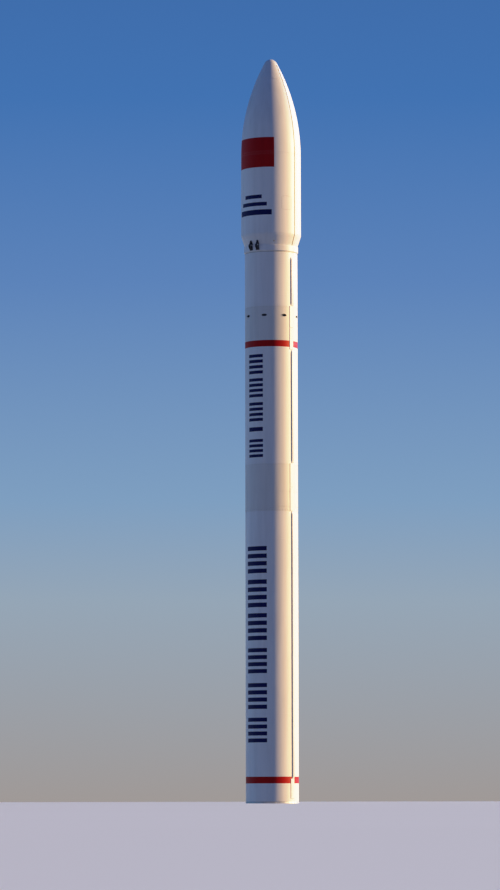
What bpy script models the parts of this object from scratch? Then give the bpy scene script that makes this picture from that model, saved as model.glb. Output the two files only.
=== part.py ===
"""Space launch rocket: three solid stages in line, a steered nozzle and a two-half fairing.

Metres, +Z up. The origin is the centre of the base plane, where the end ring stands.
The decorated face looks along -Y, the cable ducts run up the +X and -X sides, and the
fairing parts at the plane y = 0. Each half swings out on its own pair of hinges.
"""

import math

import bmesh
import bpy
from mathutils import Matrix, Vector

PART_NAME = "launch_rocket"

# Fits and fineness
GAP = 0.0003
ROUND_STEPS = 48
SMALL_STEPS = 24
MERGE = 0.00001
SEAM_CHAMFER = 0.004
FAIRING_TWIST = math.pi / ROUND_STEPS

# Radii of the vehicle
BODY_RADIUS = 0.700
SKIRT_WALL = 0.025
FAIRING_RADIUS = 0.800
FAIRING_WALL = 0.025
FAIRING_RING_RADIUS = 0.720
FAIRING_RING_NECK = 0.690

# Heights above the base plane
END_RING_TOP = 0.050
SKIRT_TOP = 0.525
LOWER_BAND_TOP = 0.700
STAGE1_TOP = 7.700
JOINT_RING_TOP = 7.817
INTERSTAGE_1_2_SPLIT = 8.223
STAGE2_BOTTOM = 8.955
STAGE2_TOP = 12.070
UPPER_BAND_TOP = 12.240
STAGE3_BOTTOM = 13.150
STAGE3_TOP = 14.598
BOAT_TAIL_BOTTOM = 14.790
BOAT_TAIL_TOP = 15.096
NOSE_BOTTOM = 17.250
CAP_BOTTOM = 19.300
TIP_HEIGHT = 19.880
TIP_RADIUS = 0.180
NOSE_STEPS = 8
TIP_STEPS = 4

# End ring that the rocket stands on
END_RING_INNER = 0.620

# Oval ports around the upper interstage
PORT_COUNT = 8
PORT_FIRST_DEG = -67.5
PORT_HEIGHT = 12.910
PORT_SIZE = (0.150, 0.070)
PORT_DEPTH = 0.020

# Cable ducts: name, bottom, top, width, how far it stands proud, turn towards -Y in degrees
DUCTS = (
    ("cover_base", 0.120, 0.650, 0.145, 0.014, 2.5),
    ("duct_stage1", 0.650, 7.700, 0.090, 0.034, 0.0),
    ("cover_1_2", 7.700, 8.980, 0.145, 0.014, 2.5),
    ("duct_stage2", 8.980, 12.000, 0.090, 0.034, 0.0),
    ("cover_2_3", 12.000, 13.170, 0.145, 0.014, 2.5),
    ("duct_stage3", 13.170, 14.480, 0.110, 0.034, 0.0),
)
DUCT_SIDES = (("right", 1.0), ("left", -1.0))
DUCT_ROOT_DEPTH = 0.040
DUCT_EDGE = 0.008

# Nozzle, its ball-shaped head and the flexible seal around it
PIVOT_HEIGHT = 0.560
HEAD_RADIUS = 0.2700
SEAL_GAP = 0.0008
SEAL_THICKNESS = 0.0300
SEAL_ANGLES = (50.0, 70.0)
HEAD_ANGLES = (46.0, 73.0)
SEAL_STEPS = 4
HEAD_STEPS = 5
NOZZLE_EXIT_HEIGHT = 0.100
NOZZLE_EXIT_RADIUS = 0.385
NOZZLE_INLET_RADIUS = 0.150
THROAT_RADIUS = 0.120
THROAT_DROP = 0.030
NECK_RADII = (0.235, 0.225)
NECK_HEIGHTS = (0.610, 0.530)
NOZZLE_WALL = 0.016
BELL_STEPS = 4
FLANGE_REACH = 0.028
FLANGE_THICKNESS = 0.014

# Aft end of the first motor
DOME_RADIUS = 0.660
DOME_INNER_RADIUS = 0.400
DOME_DROP = 0.050
DOME_STEPS = 3
BOSS_RADIUS = 0.365
BOSS_RECESS_TOP = 0.800
BOSS_TOP = 0.770

# Steering arms and actuators
ARM_REACH = 0.550
ARM_ROOT = 0.190
ARM_WIDTH = 0.068
ARM_HEIGHT = 0.044
ARM_TIP = 0.028
ARM_PAD_WIDTH = 0.110
ARM_PAD_HEIGHT = 0.058
ARM_PAD_REACH = 0.252
FORK_GAP = 0.044
FORK_DEPTH = 0.043
FORK_PIN_RADIUS = 0.013
ROD_RADIUS = 0.0140
ROD_BORE = 0.0146
ROD_BOTTOM = 0.270
EYE_RADIUS = 0.032
EYE_BORE = 0.0172
EYE_WIDTH = 0.028
BARREL_RADIUS = 0.045
BARREL_BOTTOM = 0.170
BARREL_TOP = 0.420
BARREL_BORE_BOTTOM = 0.215
BRACKET_WIDTH = 0.070
BRACKET_HEIGHTS = (0.240, 0.380)

# Fairing hinges, two at the foot of each half
HINGE_OFFSETS = (-0.110, 0.110)
HINGE_RADIUS = 0.765
HINGE_PIN_RADIUS = 0.0120
HINGE_BORE = 0.0130
LUG_EYE_RADIUS = 0.026
LUG_WIDTH = 0.030
LUG_HEIGHT = 0.130
LUG_LIFT = 0.006
LUG_STEP = 0.038
LUG_TOP_WIDTH = 0.034
CHEEK_WIDTH = 0.018
CHEEK_GAP = 0.003
CHEEK_RADIUS = 0.025
CHEEK_DROP = 0.140

# Access door in the front half
DOOR_TURN_DEG = 70.0
DOOR_HEIGHTS = (15.730, 16.090)
DOOR_WIDTH = 0.310
DOOR_CORNER = 0.050

# Upper stage and the seat for the load inside the fairing
UPPER_STAGE_RADIUS = 0.500
UPPER_STAGE_TOP = 15.250
ADAPTER_TOP = 15.620
ADAPTER_RADII = (0.470, 0.310)
PAYLOAD_RING_RADII = (0.310, 0.255)
PAYLOAD_RING_TOP = 15.680

# Colours: base colour, roughness, metallic
PAINTS = {
    "white_paint": ((0.86, 0.85, 0.83), 0.38, 0.0),
    "duct_paint": ((0.84, 0.83, 0.80), 0.42, 0.0),
    "red_paint": ((0.62, 0.015, 0.012), 0.42, 0.0),
    "dark_metal": ((0.035, 0.037, 0.045), 0.45, 0.6),
    "bare_metal": ((0.48, 0.48, 0.47), 0.35, 0.9),
    "ablative": ((0.055, 0.050, 0.048), 0.75, 0.0),
    "rubber": ((0.020, 0.020, 0.020), 0.80, 0.0),
}


def clear_scene():
    """Remove whatever the file opened with."""
    for obj in list(bpy.data.objects):
        bpy.data.objects.remove(obj)


def new_collection(name):
    """Link a new collection to the scene."""
    collection = bpy.data.collections.new(name)
    bpy.context.scene.collection.children.link(collection)
    return collection


def make_paint(name):
    """Make one surface finish from the table of colours."""
    colour, roughness, metallic = PAINTS[name]
    material = bpy.data.materials.new(name)
    material.use_nodes = True
    shader = material.node_tree.nodes["Principled BSDF"]
    shader.inputs["Base Color"].default_value = (*colour, 1.0)
    shader.inputs["Roughness"].default_value = roughness
    shader.inputs["Metallic"].default_value = metallic
    return material


def add_object(name, mesh, paint):
    """Put a mesh in the part's collection with a finish of its own."""
    obj = bpy.data.objects.new(name, mesh)
    parts.objects.link(obj)
    if paint:
        finish = make_paint(paint)
        finish.name = name + "_finish"
        mesh.materials.append(finish)
    return obj


def as_cutter(obj):
    """Move a helper shape to the cutters, where it is drawn as wire only."""
    parts.objects.unlink(obj)
    cutters.objects.link(obj)
    obj.hide_render = True
    obj.display_type = "WIRE"
    return obj


def combine(obj, helper, operation):
    """Cut a helper away from a piece, join it on, or keep what they share."""
    if helper.name not in cutters.objects:
        as_cutter(helper)
    modifier = obj.modifiers.new(operation.lower() + "_" + helper.name, "BOOLEAN")
    modifier.operation = operation
    modifier.solver = "EXACT"
    modifier.object = helper
    return obj


def turned(name, profile, paint=None, steps=ROUND_STEPS, ring=False):
    """Turn a profile of (radius, height) points, listed down its outer side, about Z."""
    points = [(radius, 0.0, height) for radius, height in profile]
    edges = [(index, index + 1) for index in range(len(points) - 1)]
    if ring:
        edges.append((len(points) - 1, 0))
    mesh = bpy.data.meshes.new(name)
    mesh.from_pydata(points, edges, [])
    obj = add_object(name, mesh, paint)
    screw = obj.modifiers.new("turn", "SCREW")
    screw.axis = "Z"
    screw.angle = math.tau
    screw.steps = steps
    screw.render_steps = steps
    screw.use_merge_vertices = True
    screw.merge_threshold = MERGE
    screw.use_smooth_shade = False
    return obj


def box(name, low, high, paint=None):
    """A block between two corners."""
    low, high = Vector(low), Vector(high)
    mesh = bpy.data.meshes.new(name)
    shape = bmesh.new()
    bmesh.ops.create_cube(shape, size=1.0)
    bmesh.ops.scale(shape, vec=high - low, verts=shape.verts)
    bmesh.ops.translate(shape, vec=(low + high) / 2.0, verts=shape.verts)
    shape.to_mesh(mesh)
    shape.free()
    return add_object(name, mesh, paint)


def bar(name, start, end, radius, paint=None, steps=SMALL_STEPS):
    """A round bar between two points."""
    start, end = Vector(start), Vector(end)
    along = end - start
    turn = along.to_track_quat("Z", "Y").to_matrix().to_4x4()
    mesh = bpy.data.meshes.new(name)
    shape = bmesh.new()
    bmesh.ops.create_cone(
        shape,
        cap_ends=True,
        segments=steps,
        radius1=radius,
        radius2=radius,
        depth=along.length,
        matrix=Matrix.Translation((start + end) / 2.0) @ turn,
    )
    shape.to_mesh(mesh)
    shape.free()
    return add_object(name, mesh, paint)


def plate(name, outline, thickness, place, hole=None):
    """A flat plate of an outline in its own XY plane, set down by a placing matrix."""
    curve = bpy.data.curves.new(name + "_outline", "CURVE")
    curve.dimensions = "2D"
    curve.fill_mode = "BOTH"
    curve.extrude = thickness / 2.0
    for loop in (outline, hole):
        if not loop:
            continue
        spline = curve.splines.new("POLY")
        spline.points.add(len(loop) - 1)
        for point, (across, up) in zip(spline.points, loop):
            point.co = (across, up, 0.0, 1.0)
        spline.use_cyclic_u = True
    drawn = bpy.data.objects.new(name + "_outline", curve)
    parts.objects.link(drawn)
    bpy.context.view_layer.update()
    graph = bpy.context.evaluated_depsgraph_get()
    mesh = bpy.data.meshes.new_from_object(drawn.evaluated_get(graph))
    bpy.data.objects.remove(drawn)
    shape = bmesh.new()
    shape.from_mesh(mesh)
    bmesh.ops.remove_doubles(shape, verts=shape.verts, dist=MERGE)
    bmesh.ops.transform(shape, matrix=place, verts=shape.verts)
    bmesh.ops.recalc_face_normals(shape, faces=shape.faces)
    shape.to_mesh(mesh)
    shape.free()
    return add_object(name, mesh, None)


def arc(radius, first_deg, last_deg, steps, centre=(0.0, 0.0)):
    """Points along an arc in a plane, from the first angle to the last."""
    points = []
    for index in range(steps + 1):
        angle = math.radians(first_deg + (last_deg - first_deg) * index / steps)
        points.append((centre[0] + radius * math.cos(angle), centre[1] + radius * math.sin(angle)))
    return points


def rounded_rectangle(width, height, corner, steps=4):
    """The outline of a rectangle with round corners, centred on its own origin."""
    points = []
    for across, up, first in ((1, 1, 0.0), (-1, 1, 90.0), (-1, -1, 180.0), (1, -1, 270.0)):
        centre = (across * (width / 2.0 - corner), up * (height / 2.0 - corner))
        points += arc(corner, first, first + 90.0, steps, centre)
    return points


def side_place(turn_deg, distance=0.0, height=0.0):
    """Place an upright outline on the body's side, turned about Z from the -Y face."""
    turn = Matrix.Rotation(math.radians(turn_deg), 4, "Z")
    return turn @ Matrix.Translation((0.0, -distance, height)) @ Matrix.Rotation(math.pi / 2.0, 4, "X")


def quarter_turn(point, side):
    """Carry a point given for the -Y side to the side named by its turn about Z."""
    return Matrix.Rotation(math.radians(side), 4, "Z") @ Vector(point)


def carry(obj, joint):
    """Hang a piece on the empty that marks its joint, without moving it."""
    obj.parent = joint
    obj.location = obj.location - joint.location
    return obj


def joint_mark(name, location):
    """An empty on a joint's axis."""
    mark = bpy.data.objects.new(name, None)
    mark.location = location
    mark.empty_display_size = 0.2
    parts.objects.link(mark)
    return mark


def body_section(name, bottom, top, paint):
    """A solid length of the round body with a seam groove at its foot."""
    profile = [
        (0.0, top - GAP),
        (BODY_RADIUS, top - GAP),
        (BODY_RADIUS, bottom + SEAM_CHAMFER),
        (BODY_RADIUS - SEAM_CHAMFER, bottom),
        (0.0, bottom),
    ]
    return turned(name, profile, paint)


def ring_section(name, bottom, top, outer, inner, paint):
    """A hollow length of the round body."""
    profile = [(outer, top - GAP), (outer, bottom), (inner, bottom), (inner, top - GAP)]
    return turned(name, profile, paint, ring=True)


def build_body():
    """End ring, skirt, bands, motor cases and interstages, stacked from the ground up."""
    skirt_inner = BODY_RADIUS - SKIRT_WALL
    ring_section("base_ring", 0.0, END_RING_TOP, BODY_RADIUS, END_RING_INNER, "bare_metal")
    ring_section("aft_skirt", END_RING_TOP, SKIRT_TOP, BODY_RADIUS, skirt_inner, "white_paint")
    ring_section("red_band_lower", SKIRT_TOP, LOWER_BAND_TOP, BODY_RADIUS, skirt_inner, "red_paint")
    build_stage1_case()
    sections = (
        # name, bottom, top, paint
        ("joint_ring_1_2", STAGE1_TOP, JOINT_RING_TOP, "white_paint"),
        ("interstage_1_2_lower", JOINT_RING_TOP, INTERSTAGE_1_2_SPLIT, "white_paint"),
        ("interstage_1_2_upper", INTERSTAGE_1_2_SPLIT, STAGE2_BOTTOM, "white_paint"),
        ("stage2_case", STAGE2_BOTTOM, STAGE2_TOP, "white_paint"),
        ("red_band_upper", STAGE2_TOP, UPPER_BAND_TOP, "red_paint"),
        ("interstage_2_3", UPPER_BAND_TOP, STAGE3_BOTTOM, "white_paint"),
        ("stage3_case", STAGE3_BOTTOM, STAGE3_TOP, "white_paint"),
    )
    for name, bottom, top, paint in sections:
        body_section(name, bottom, top, paint)
    cut_ports(bpy.data.objects["interstage_2_3"])


def build_stage1_case():
    """First motor: a solid case whose aft dome bulges into the skirt round the nozzle seat."""
    profile = [
        (0.0, STAGE1_TOP - GAP),
        (BODY_RADIUS, STAGE1_TOP - GAP),
        (BODY_RADIUS, LOWER_BAND_TOP),
    ]
    for index in range(DOME_STEPS + 1):
        angle = math.pi / 2.0 * index / DOME_STEPS
        radius = DOME_INNER_RADIUS + (DOME_RADIUS - DOME_INNER_RADIUS) * math.cos(angle)
        profile.append((radius, LOWER_BAND_TOP - DOME_DROP * math.sin(angle)))
    profile += [
        (BOSS_RADIUS, LOWER_BAND_TOP - DOME_DROP),
        (BOSS_RADIUS, BOSS_RECESS_TOP),
        (0.0, BOSS_RECESS_TOP),
    ]
    turned("stage1_case", profile, "white_paint")


def cut_ports(section):
    """Shallow oval ports around the upper interstage."""
    width, height = PORT_SIZE
    outline = [(width * x, height * y) for x, y in arc(0.5, 0.0, 330.0, 11)]
    for index in range(PORT_COUNT):
        turn = PORT_FIRST_DEG + index * 360.0 / PORT_COUNT
        place = side_place(turn, BODY_RADIUS, PORT_HEIGHT)
        port = plate("port_cutter_%d" % (index + 1), outline, 2.0 * PORT_DEPTH, place)
        combine(section, port, "DIFFERENCE")


def build_ducts():
    """Cable ducts and the low covers between them, up both sides."""
    clearance = turned(
        "body_clearance",
        [
            (0.0, STAGE3_TOP),
            (BODY_RADIUS + GAP, STAGE3_TOP),
            (BODY_RADIUS + GAP, 0.0),
            (0.0, 0.0),
        ],
    )
    for side_name, side in DUCT_SIDES:
        for name, bottom, top, width, proud, turn_deg in DUCTS:
            inner = BODY_RADIUS - DUCT_ROOT_DEPTH
            across = sorted((side * inner, side * (BODY_RADIUS + proud)))
            duct = box(
                name + "_" + side_name,
                (across[0], -width / 2.0, bottom),
                (across[1], width / 2.0, top - GAP),
                "duct_paint",
            )
            duct.data.transform(Matrix.Rotation(math.radians(-side * turn_deg), 4, "Z"))
            edge = duct.modifiers.new("round_edges", "BEVEL")
            edge.width = DUCT_EDGE
            edge.segments = 2
            edge.limit_method = "ANGLE"
            combine(duct, clearance, "DIFFERENCE")


def ball_point(radius, polar_deg):
    """A point of a ball about the nozzle's pivot, by its angle from straight up."""
    angle = math.radians(polar_deg)
    return (radius * math.sin(angle), PIVOT_HEIGHT + radius * math.cos(angle))


def ball_arc(radius, first_deg, last_deg, steps):
    """Points down a ball about the nozzle's pivot."""
    return [ball_point(radius, first_deg + (last_deg - first_deg) * i / steps) for i in range(steps + 1)]


def build_nozzle_boss(seal_outer):
    """Metal ring in the aft dome with the seat of the flexible seal."""
    seat_radius = seal_outer + SEAL_GAP
    bottom = LOWER_BAND_TOP - DOME_DROP
    last = math.degrees(math.acos((bottom - PIVOT_HEIGHT) / seat_radius))
    seat = ball_arc(seat_radius, SEAL_ANGLES[0], last, SEAL_STEPS)
    profile = [(BOSS_RADIUS - GAP, BOSS_TOP), (BOSS_RADIUS - GAP, bottom)]
    profile += reversed(seat)
    profile.append((seat[0][0], BOSS_TOP))
    turned("nozzle_boss", profile, "bare_metal", ring=True)


def build_seal(seal_inner, seal_outer, joint):
    """The flexible seal between boss and nozzle, as a ring with ball-shaped faces."""
    first, last = SEAL_ANGLES
    profile = ball_arc(seal_outer, first, last, SEAL_STEPS)
    profile += ball_arc(seal_inner, last, first, SEAL_STEPS)
    seal = turned("flexible_seal", profile, "rubber", ring=True)
    carry(seal, joint)


def bell_inner(share):
    """Inner radius and height of the bell, from throat (0) to exit (1)."""
    throat_height = PIVOT_HEIGHT - THROAT_DROP
    radius = THROAT_RADIUS + (NOZZLE_EXIT_RADIUS - THROAT_RADIUS) * (1.3 * share - 0.3 * share**2)
    return (radius, throat_height + (NOZZLE_EXIT_HEIGHT - throat_height) * share)


def bell_outer(share):
    """Outer radius and height of the bell."""
    radius, height = bell_inner(share)
    return (radius + NOZZLE_WALL, height)


def build_exit_cone(joint):
    """The bell below the bolted flange."""
    shares = [index / BELL_STEPS for index in range(1, BELL_STEPS + 1)]
    radius, height = bell_outer(shares[0])
    profile = [
        (radius + FLANGE_REACH, height - GAP),
        (radius + FLANGE_REACH, height - FLANGE_THICKNESS),
        (radius, height - FLANGE_THICKNESS),
    ]
    profile += [bell_outer(share) for share in shares[1:]]
    profile += [bell_inner(share) for share in reversed(shares[1:])]
    profile.append((bell_inner(shares[0])[0], height - GAP))
    cone = turned("nozzle_exit_cone", profile, "ablative", ring=True)
    carry(cone, joint)


def build_nozzle_head(joint):
    """Ball head, throat and upper flange of the nozzle."""
    profile = ball_arc(HEAD_RADIUS, *HEAD_ANGLES, HEAD_STEPS)
    top = profile[0][1]
    profile += zip(NECK_RADII, NECK_HEIGHTS)
    radius, height = bell_outer(1.0 / BELL_STEPS)
    profile += [
        (radius, height + FLANGE_THICKNESS),
        (radius + FLANGE_REACH, height + FLANGE_THICKNESS),
        (radius + FLANGE_REACH, height),
        bell_inner(1.0 / BELL_STEPS),
        bell_inner(0.0),
        (NOZZLE_INLET_RADIUS, top),
    ]
    head = turned("nozzle_head", profile, "ablative", ring=True)
    carry(head, joint)


def build_arm(name, side, joint):
    """One steering arm: a pad bolted to the nozzle's neck, a beam, and a fork with its pin."""
    tip = ARM_REACH + ARM_TIP
    arm = box(
        name + "_arm",
        (-ARM_WIDTH / 2.0, -tip, PIVOT_HEIGHT - ARM_HEIGHT / 2.0),
        (ARM_WIDTH / 2.0, -ARM_ROOT, PIVOT_HEIGHT + ARM_HEIGHT / 2.0),
        "bare_metal",
    )
    pad = box(
        name + "_arm_pad",
        (-ARM_PAD_WIDTH / 2.0, -ARM_PAD_REACH, PIVOT_HEIGHT - ARM_PAD_HEIGHT / 2.0),
        (ARM_PAD_WIDTH / 2.0, -ARM_ROOT, PIVOT_HEIGHT + ARM_PAD_HEIGHT / 2.0),
    )
    slot = box(
        name + "_fork_slot",
        (-FORK_GAP / 2.0, -tip - ARM_TIP, PIVOT_HEIGHT - ARM_HEIGHT),
        (FORK_GAP / 2.0, FORK_DEPTH - ARM_REACH, PIVOT_HEIGHT + ARM_HEIGHT),
    )
    half_pin = ARM_WIDTH / 2.0 - FORK_PIN_RADIUS / 2.0
    pin = bar(
        name + "_fork_pin",
        (-half_pin, -ARM_REACH, PIVOT_HEIGHT),
        (half_pin, -ARM_REACH, PIVOT_HEIGHT),
        FORK_PIN_RADIUS,
    )
    neck = [(radius + GAP, height) for radius, height in zip(NECK_RADII, NECK_HEIGHTS)]
    neck = [(0.0, NECK_HEIGHTS[0])] + neck + [(0.0, NECK_HEIGHTS[1])]
    neck_clearance = turned(name + "_neck_clearance", neck)
    for helper in (arm, pad, slot, pin):
        helper.data.transform(Matrix.Rotation(math.radians(side), 4, "Z"))
    combine(arm, pad, "UNION")
    combine(arm, slot, "DIFFERENCE")
    combine(arm, pin, "UNION")
    combine(arm, neck_clearance, "DIFFERENCE")
    carry(arm, joint)


def build_actuator(name, side, joint):
    """One steering actuator: a barrel fixed to the skirt and a rod that lifts the arm."""
    foot = quarter_turn((0.0, -ARM_REACH, 0.0), side)
    turn = Matrix.Rotation(math.radians(side), 4, "Z")

    def upright(height):
        return foot + Vector((0.0, 0.0, height))

    barrel = bar(
        name + "_actuator_barrel",
        upright(BARREL_BOTTOM),
        upright(BARREL_TOP),
        BARREL_RADIUS,
        "bare_metal",
    )
    bracket = box(
        name + "_bracket",
        (-BRACKET_WIDTH / 2.0, -BODY_RADIUS, BRACKET_HEIGHTS[0]),
        (BRACKET_WIDTH / 2.0, -ARM_REACH - BARREL_RADIUS / 2.0, BRACKET_HEIGHTS[1]),
    )
    bracket.data.transform(turn)
    skirt_inside = bpy.data.objects.get("skirt_inside") or turned(
        "skirt_inside",
        [
            (0.0, SKIRT_TOP),
            (BODY_RADIUS - SKIRT_WALL - GAP, SKIRT_TOP),
            (BODY_RADIUS - SKIRT_WALL - GAP, END_RING_TOP),
            (0.0, END_RING_TOP),
        ],
    )
    bore = bar(name + "_bore", upright(BARREL_BORE_BOTTOM), upright(BARREL_TOP + ROD_BORE), ROD_BORE)
    combine(barrel, bracket, "UNION")
    combine(barrel, skirt_inside, "INTERSECT")
    combine(barrel, bore, "DIFFERENCE")

    rod = bar(
        name + "_actuator_rod",
        upright(ROD_BOTTOM),
        upright(PIVOT_HEIGHT - EYE_BORE),
        ROD_RADIUS,
        "bare_metal",
    )
    axle = quarter_turn((1.0, 0.0, 0.0), side)
    eye_centre = upright(PIVOT_HEIGHT)
    eye = bar(
        name + "_eye",
        eye_centre - axle * EYE_WIDTH / 2.0,
        eye_centre + axle * EYE_WIDTH / 2.0,
        EYE_RADIUS,
    )
    eye_bore = bar(name + "_eye_bore", eye_centre - axle * EYE_WIDTH, eye_centre + axle * EYE_WIDTH, EYE_BORE)
    combine(rod, eye, "UNION")
    combine(rod, eye_bore, "DIFFERENCE")
    carry(rod, joint)


def build_propulsion():
    """The steered nozzle with its seal and both actuators."""
    seal_inner = HEAD_RADIUS + SEAL_GAP
    seal_outer = seal_inner + SEAL_THICKNESS
    pivot = (0.0, 0.0, PIVOT_HEIGHT)
    build_nozzle_boss(seal_outer)
    build_seal(seal_inner, seal_outer, joint_mark("pitch_axis", pivot))
    yaw_axis = joint_mark("yaw_axis", pivot)
    build_nozzle_head(yaw_axis)
    build_exit_cone(yaw_axis)
    for name, side in (("pitch", 0.0), ("yaw", 90.0)):
        build_arm(name, side, yaw_axis)
        foot = quarter_turn((0.0, -ARM_REACH, PIVOT_HEIGHT), side)
        build_actuator(name, side, joint_mark(name + "_rod_axis", foot))


def hinge_place(side_turn, offset):
    """Stand a plate's outline in the Y-Z plane at one hinge: across is inward, up is up."""
    axes = Matrix(((0.0, 0.0, 1.0, 0.0), (1.0, 0.0, 0.0, 0.0), (0.0, 1.0, 0.0, 0.0), (0.0, 0.0, 0.0, 1.0)))
    at_pin = Matrix.Translation((offset, -HINGE_RADIUS, BOAT_TAIL_BOTTOM))
    return Matrix.Rotation(math.radians(side_turn), 4, "Z") @ at_pin @ axes


def inward_of_pin(radius, offset):
    """How far inward of the hinge pin a cylinder of the given radius lies at an offset."""
    return HINGE_RADIUS - math.sqrt(radius**2 - offset**2)


def build_fairing_ring():
    """Ring and deck under the fairing, with the fixed cheeks and pins of the hinges."""
    top = BOAT_TAIL_BOTTOM - GAP
    profile = [
        (0.0, top),
        (FAIRING_RING_RADIUS - SEAM_CHAMFER, top),
        (FAIRING_RING_RADIUS, top - SEAM_CHAMFER),
        (FAIRING_RING_RADIUS, STAGE3_TOP + 0.040),
        (FAIRING_RING_NECK, STAGE3_TOP + 0.022),
        (FAIRING_RING_NECK, STAGE3_TOP),
        (0.0, STAGE3_TOP),
    ]
    ring = turned("fairing_ring", profile, "white_paint")
    root = inward_of_pin(FAIRING_RING_RADIUS - 0.015, HINGE_OFFSETS[1])
    outline = arc(CHEEK_RADIUS, 0.0, 180.0, 6)
    outline += [(-CHEEK_RADIUS, -0.050), (root - 0.030, -CHEEK_DROP), (root, -CHEEK_DROP), (root, -0.010)]
    reach = LUG_WIDTH / 2.0 + CHEEK_GAP + CHEEK_WIDTH / 2.0
    for half, side_turn in (("front", 0.0), ("rear", 180.0)):
        for number, offset in enumerate(HINGE_OFFSETS, 1):
            label = "%s_hinge_%d" % (half, number)
            for cheek, shift in (("a", -reach), ("b", reach)):
                place = hinge_place(side_turn, offset + shift)
                combine(ring, plate(label + "_cheek_" + cheek, outline, CHEEK_WIDTH, place), "UNION")
            turn = Matrix.Rotation(math.radians(side_turn), 4, "Z")
            ends = [turn @ Vector((offset + s * reach, -HINGE_RADIUS, BOAT_TAIL_BOTTOM)) for s in (-1, 1)]
            combine(ring, bar(label + "_pin", ends[0], ends[1], HINGE_PIN_RADIUS), "UNION")
    return ring


def add_lugs(boat_tail, half, side_turn):
    """Moving lugs of a half's two hinges, joined to the foot of its boat tail."""
    slope = (FAIRING_RADIUS - BODY_RADIUS) / (BOAT_TAIL_TOP - BOAT_TAIL_BOTTOM)

    def middle_of_wall(height):
        return inward_of_pin(BODY_RADIUS + slope * height - FAIRING_WALL / 2.0, HINGE_OFFSETS[1])

    high = middle_of_wall(LUG_HEIGHT)
    outline = arc(LUG_EYE_RADIUS, 140.0, 340.0, 8)
    outline += [(LUG_STEP, LUG_LIFT), (middle_of_wall(LUG_LIFT), LUG_LIFT)]
    outline += [(high, LUG_HEIGHT), (high - LUG_TOP_WIDTH, LUG_HEIGHT)]
    bore = arc(HINGE_BORE, 0.0, 345.0, SMALL_STEPS - 1)
    for number, offset in enumerate(HINGE_OFFSETS, 1):
        label = "%s_lug_%d" % (half, number)
        lug = plate(label, outline, LUG_WIDTH, hinge_place(side_turn, offset), bore)
        combine(boat_tail, lug, "UNION")


def ogive_values():
    """Radius of the nose's side arc, and the angle where it runs into the round tip."""
    length = TIP_HEIGHT - NOSE_BOTTOM - TIP_RADIUS
    side = (length**2 + FAIRING_RADIUS**2 - TIP_RADIUS**2) / (2.0 * (FAIRING_RADIUS - TIP_RADIUS))
    return side, math.degrees(math.atan2(length, side - FAIRING_RADIUS))


def side_arc(inset, low_deg, high_deg, steps):
    """Points up the nose's side, set in from its outer face by a wall's thickness."""
    side, _ = ogive_values()
    return arc(side - inset, low_deg, high_deg, steps, (FAIRING_RADIUS - side, NOSE_BOTTOM))


def side_angle(height, inset):
    """The angle on the nose's side arc at a height."""
    side, _ = ogive_values()
    return math.degrees(math.asin((height - NOSE_BOTTOM) / (side - inset)))


def fairing_profiles():
    """Closed profiles of the fairing's four lengths, each down outside and up inside."""
    _, tip_angle = ogive_values()
    inner = FAIRING_RADIUS - FAIRING_WALL
    boat_tail = [
        (FAIRING_RADIUS, BOAT_TAIL_TOP - GAP),
        (BODY_RADIUS, BOAT_TAIL_BOTTOM),
        (BODY_RADIUS - FAIRING_WALL, BOAT_TAIL_BOTTOM),
        (inner, BOAT_TAIL_TOP - GAP),
    ]
    panel = [
        (FAIRING_RADIUS, NOSE_BOTTOM - GAP),
        (FAIRING_RADIUS, BOAT_TAIL_TOP),
        (inner, BOAT_TAIL_TOP),
        (inner, NOSE_BOTTOM - GAP),
    ]
    nose_outer = side_arc(0.0, 0.0, side_angle(CAP_BOTTOM - GAP, 0.0), NOSE_STEPS)
    nose_inner = side_arc(FAIRING_WALL, 0.0, side_angle(CAP_BOTTOM - GAP, FAIRING_WALL), NOSE_STEPS // 2)
    cap_outer = side_arc(0.0, side_angle(CAP_BOTTOM, 0.0), tip_angle, 2)
    cap_inner = side_arc(FAIRING_WALL, side_angle(CAP_BOTTOM, FAIRING_WALL), tip_angle, 1)
    tip_centre = (0.0, TIP_HEIGHT - TIP_RADIUS)
    tip_outer = arc(TIP_RADIUS, tip_angle, 90.0, TIP_STEPS, tip_centre)[1:]
    tip_inner = arc(TIP_RADIUS - FAIRING_WALL, tip_angle, 90.0, TIP_STEPS // 2, tip_centre)[1:]
    nose = list(reversed(nose_outer)) + nose_inner
    cap = list(reversed(cap_outer + tip_outer)) + cap_inner + tip_inner
    return boat_tail, panel, nose, cap


def build_fairing():
    """Both fairing halves, each of four lengths that move as one on the half's hinges."""
    boat_tail, panel, nose, cap = fairing_profiles()
    lengths = (
        # name, profile, whether the profile closes on itself
        ("boat_tail", boat_tail, True),
        ("panel", panel, True),
        ("nose", nose, True),
        ("cap", cap, False),
    )
    reach = 2.0
    halves = (
        # name, turn from the -Y side, range of y that is cut away
        ("front", 0.0, (-GAP / 2.0, reach)),
        ("rear", 180.0, (-reach, GAP / 2.0)),
    )
    for half, side_turn, (near, far) in halves:
        pin = Matrix.Rotation(math.radians(side_turn), 4, "Z") @ Vector((0.0, -HINGE_RADIUS, BOAT_TAIL_BOTTOM))
        joint = joint_mark("fairing_%s_axis" % half, pin)
        other_side = box(
            "other_side_of_" + half,
            (-reach, near, BOAT_TAIL_BOTTOM - reach),
            (reach, far, TIP_HEIGHT + reach),
        )
        for length, profile, closed in lengths:
            piece = turned("fairing_%s_%s" % (half, length), profile, "white_paint", ring=closed)
            piece.rotation_euler.z = FAIRING_TWIST
            combine(piece, other_side, "DIFFERENCE")
            carry(piece, joint)
        add_lugs(bpy.data.objects["fairing_%s_boat_tail" % half], half, side_turn)
    build_access_door(panel)


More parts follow.
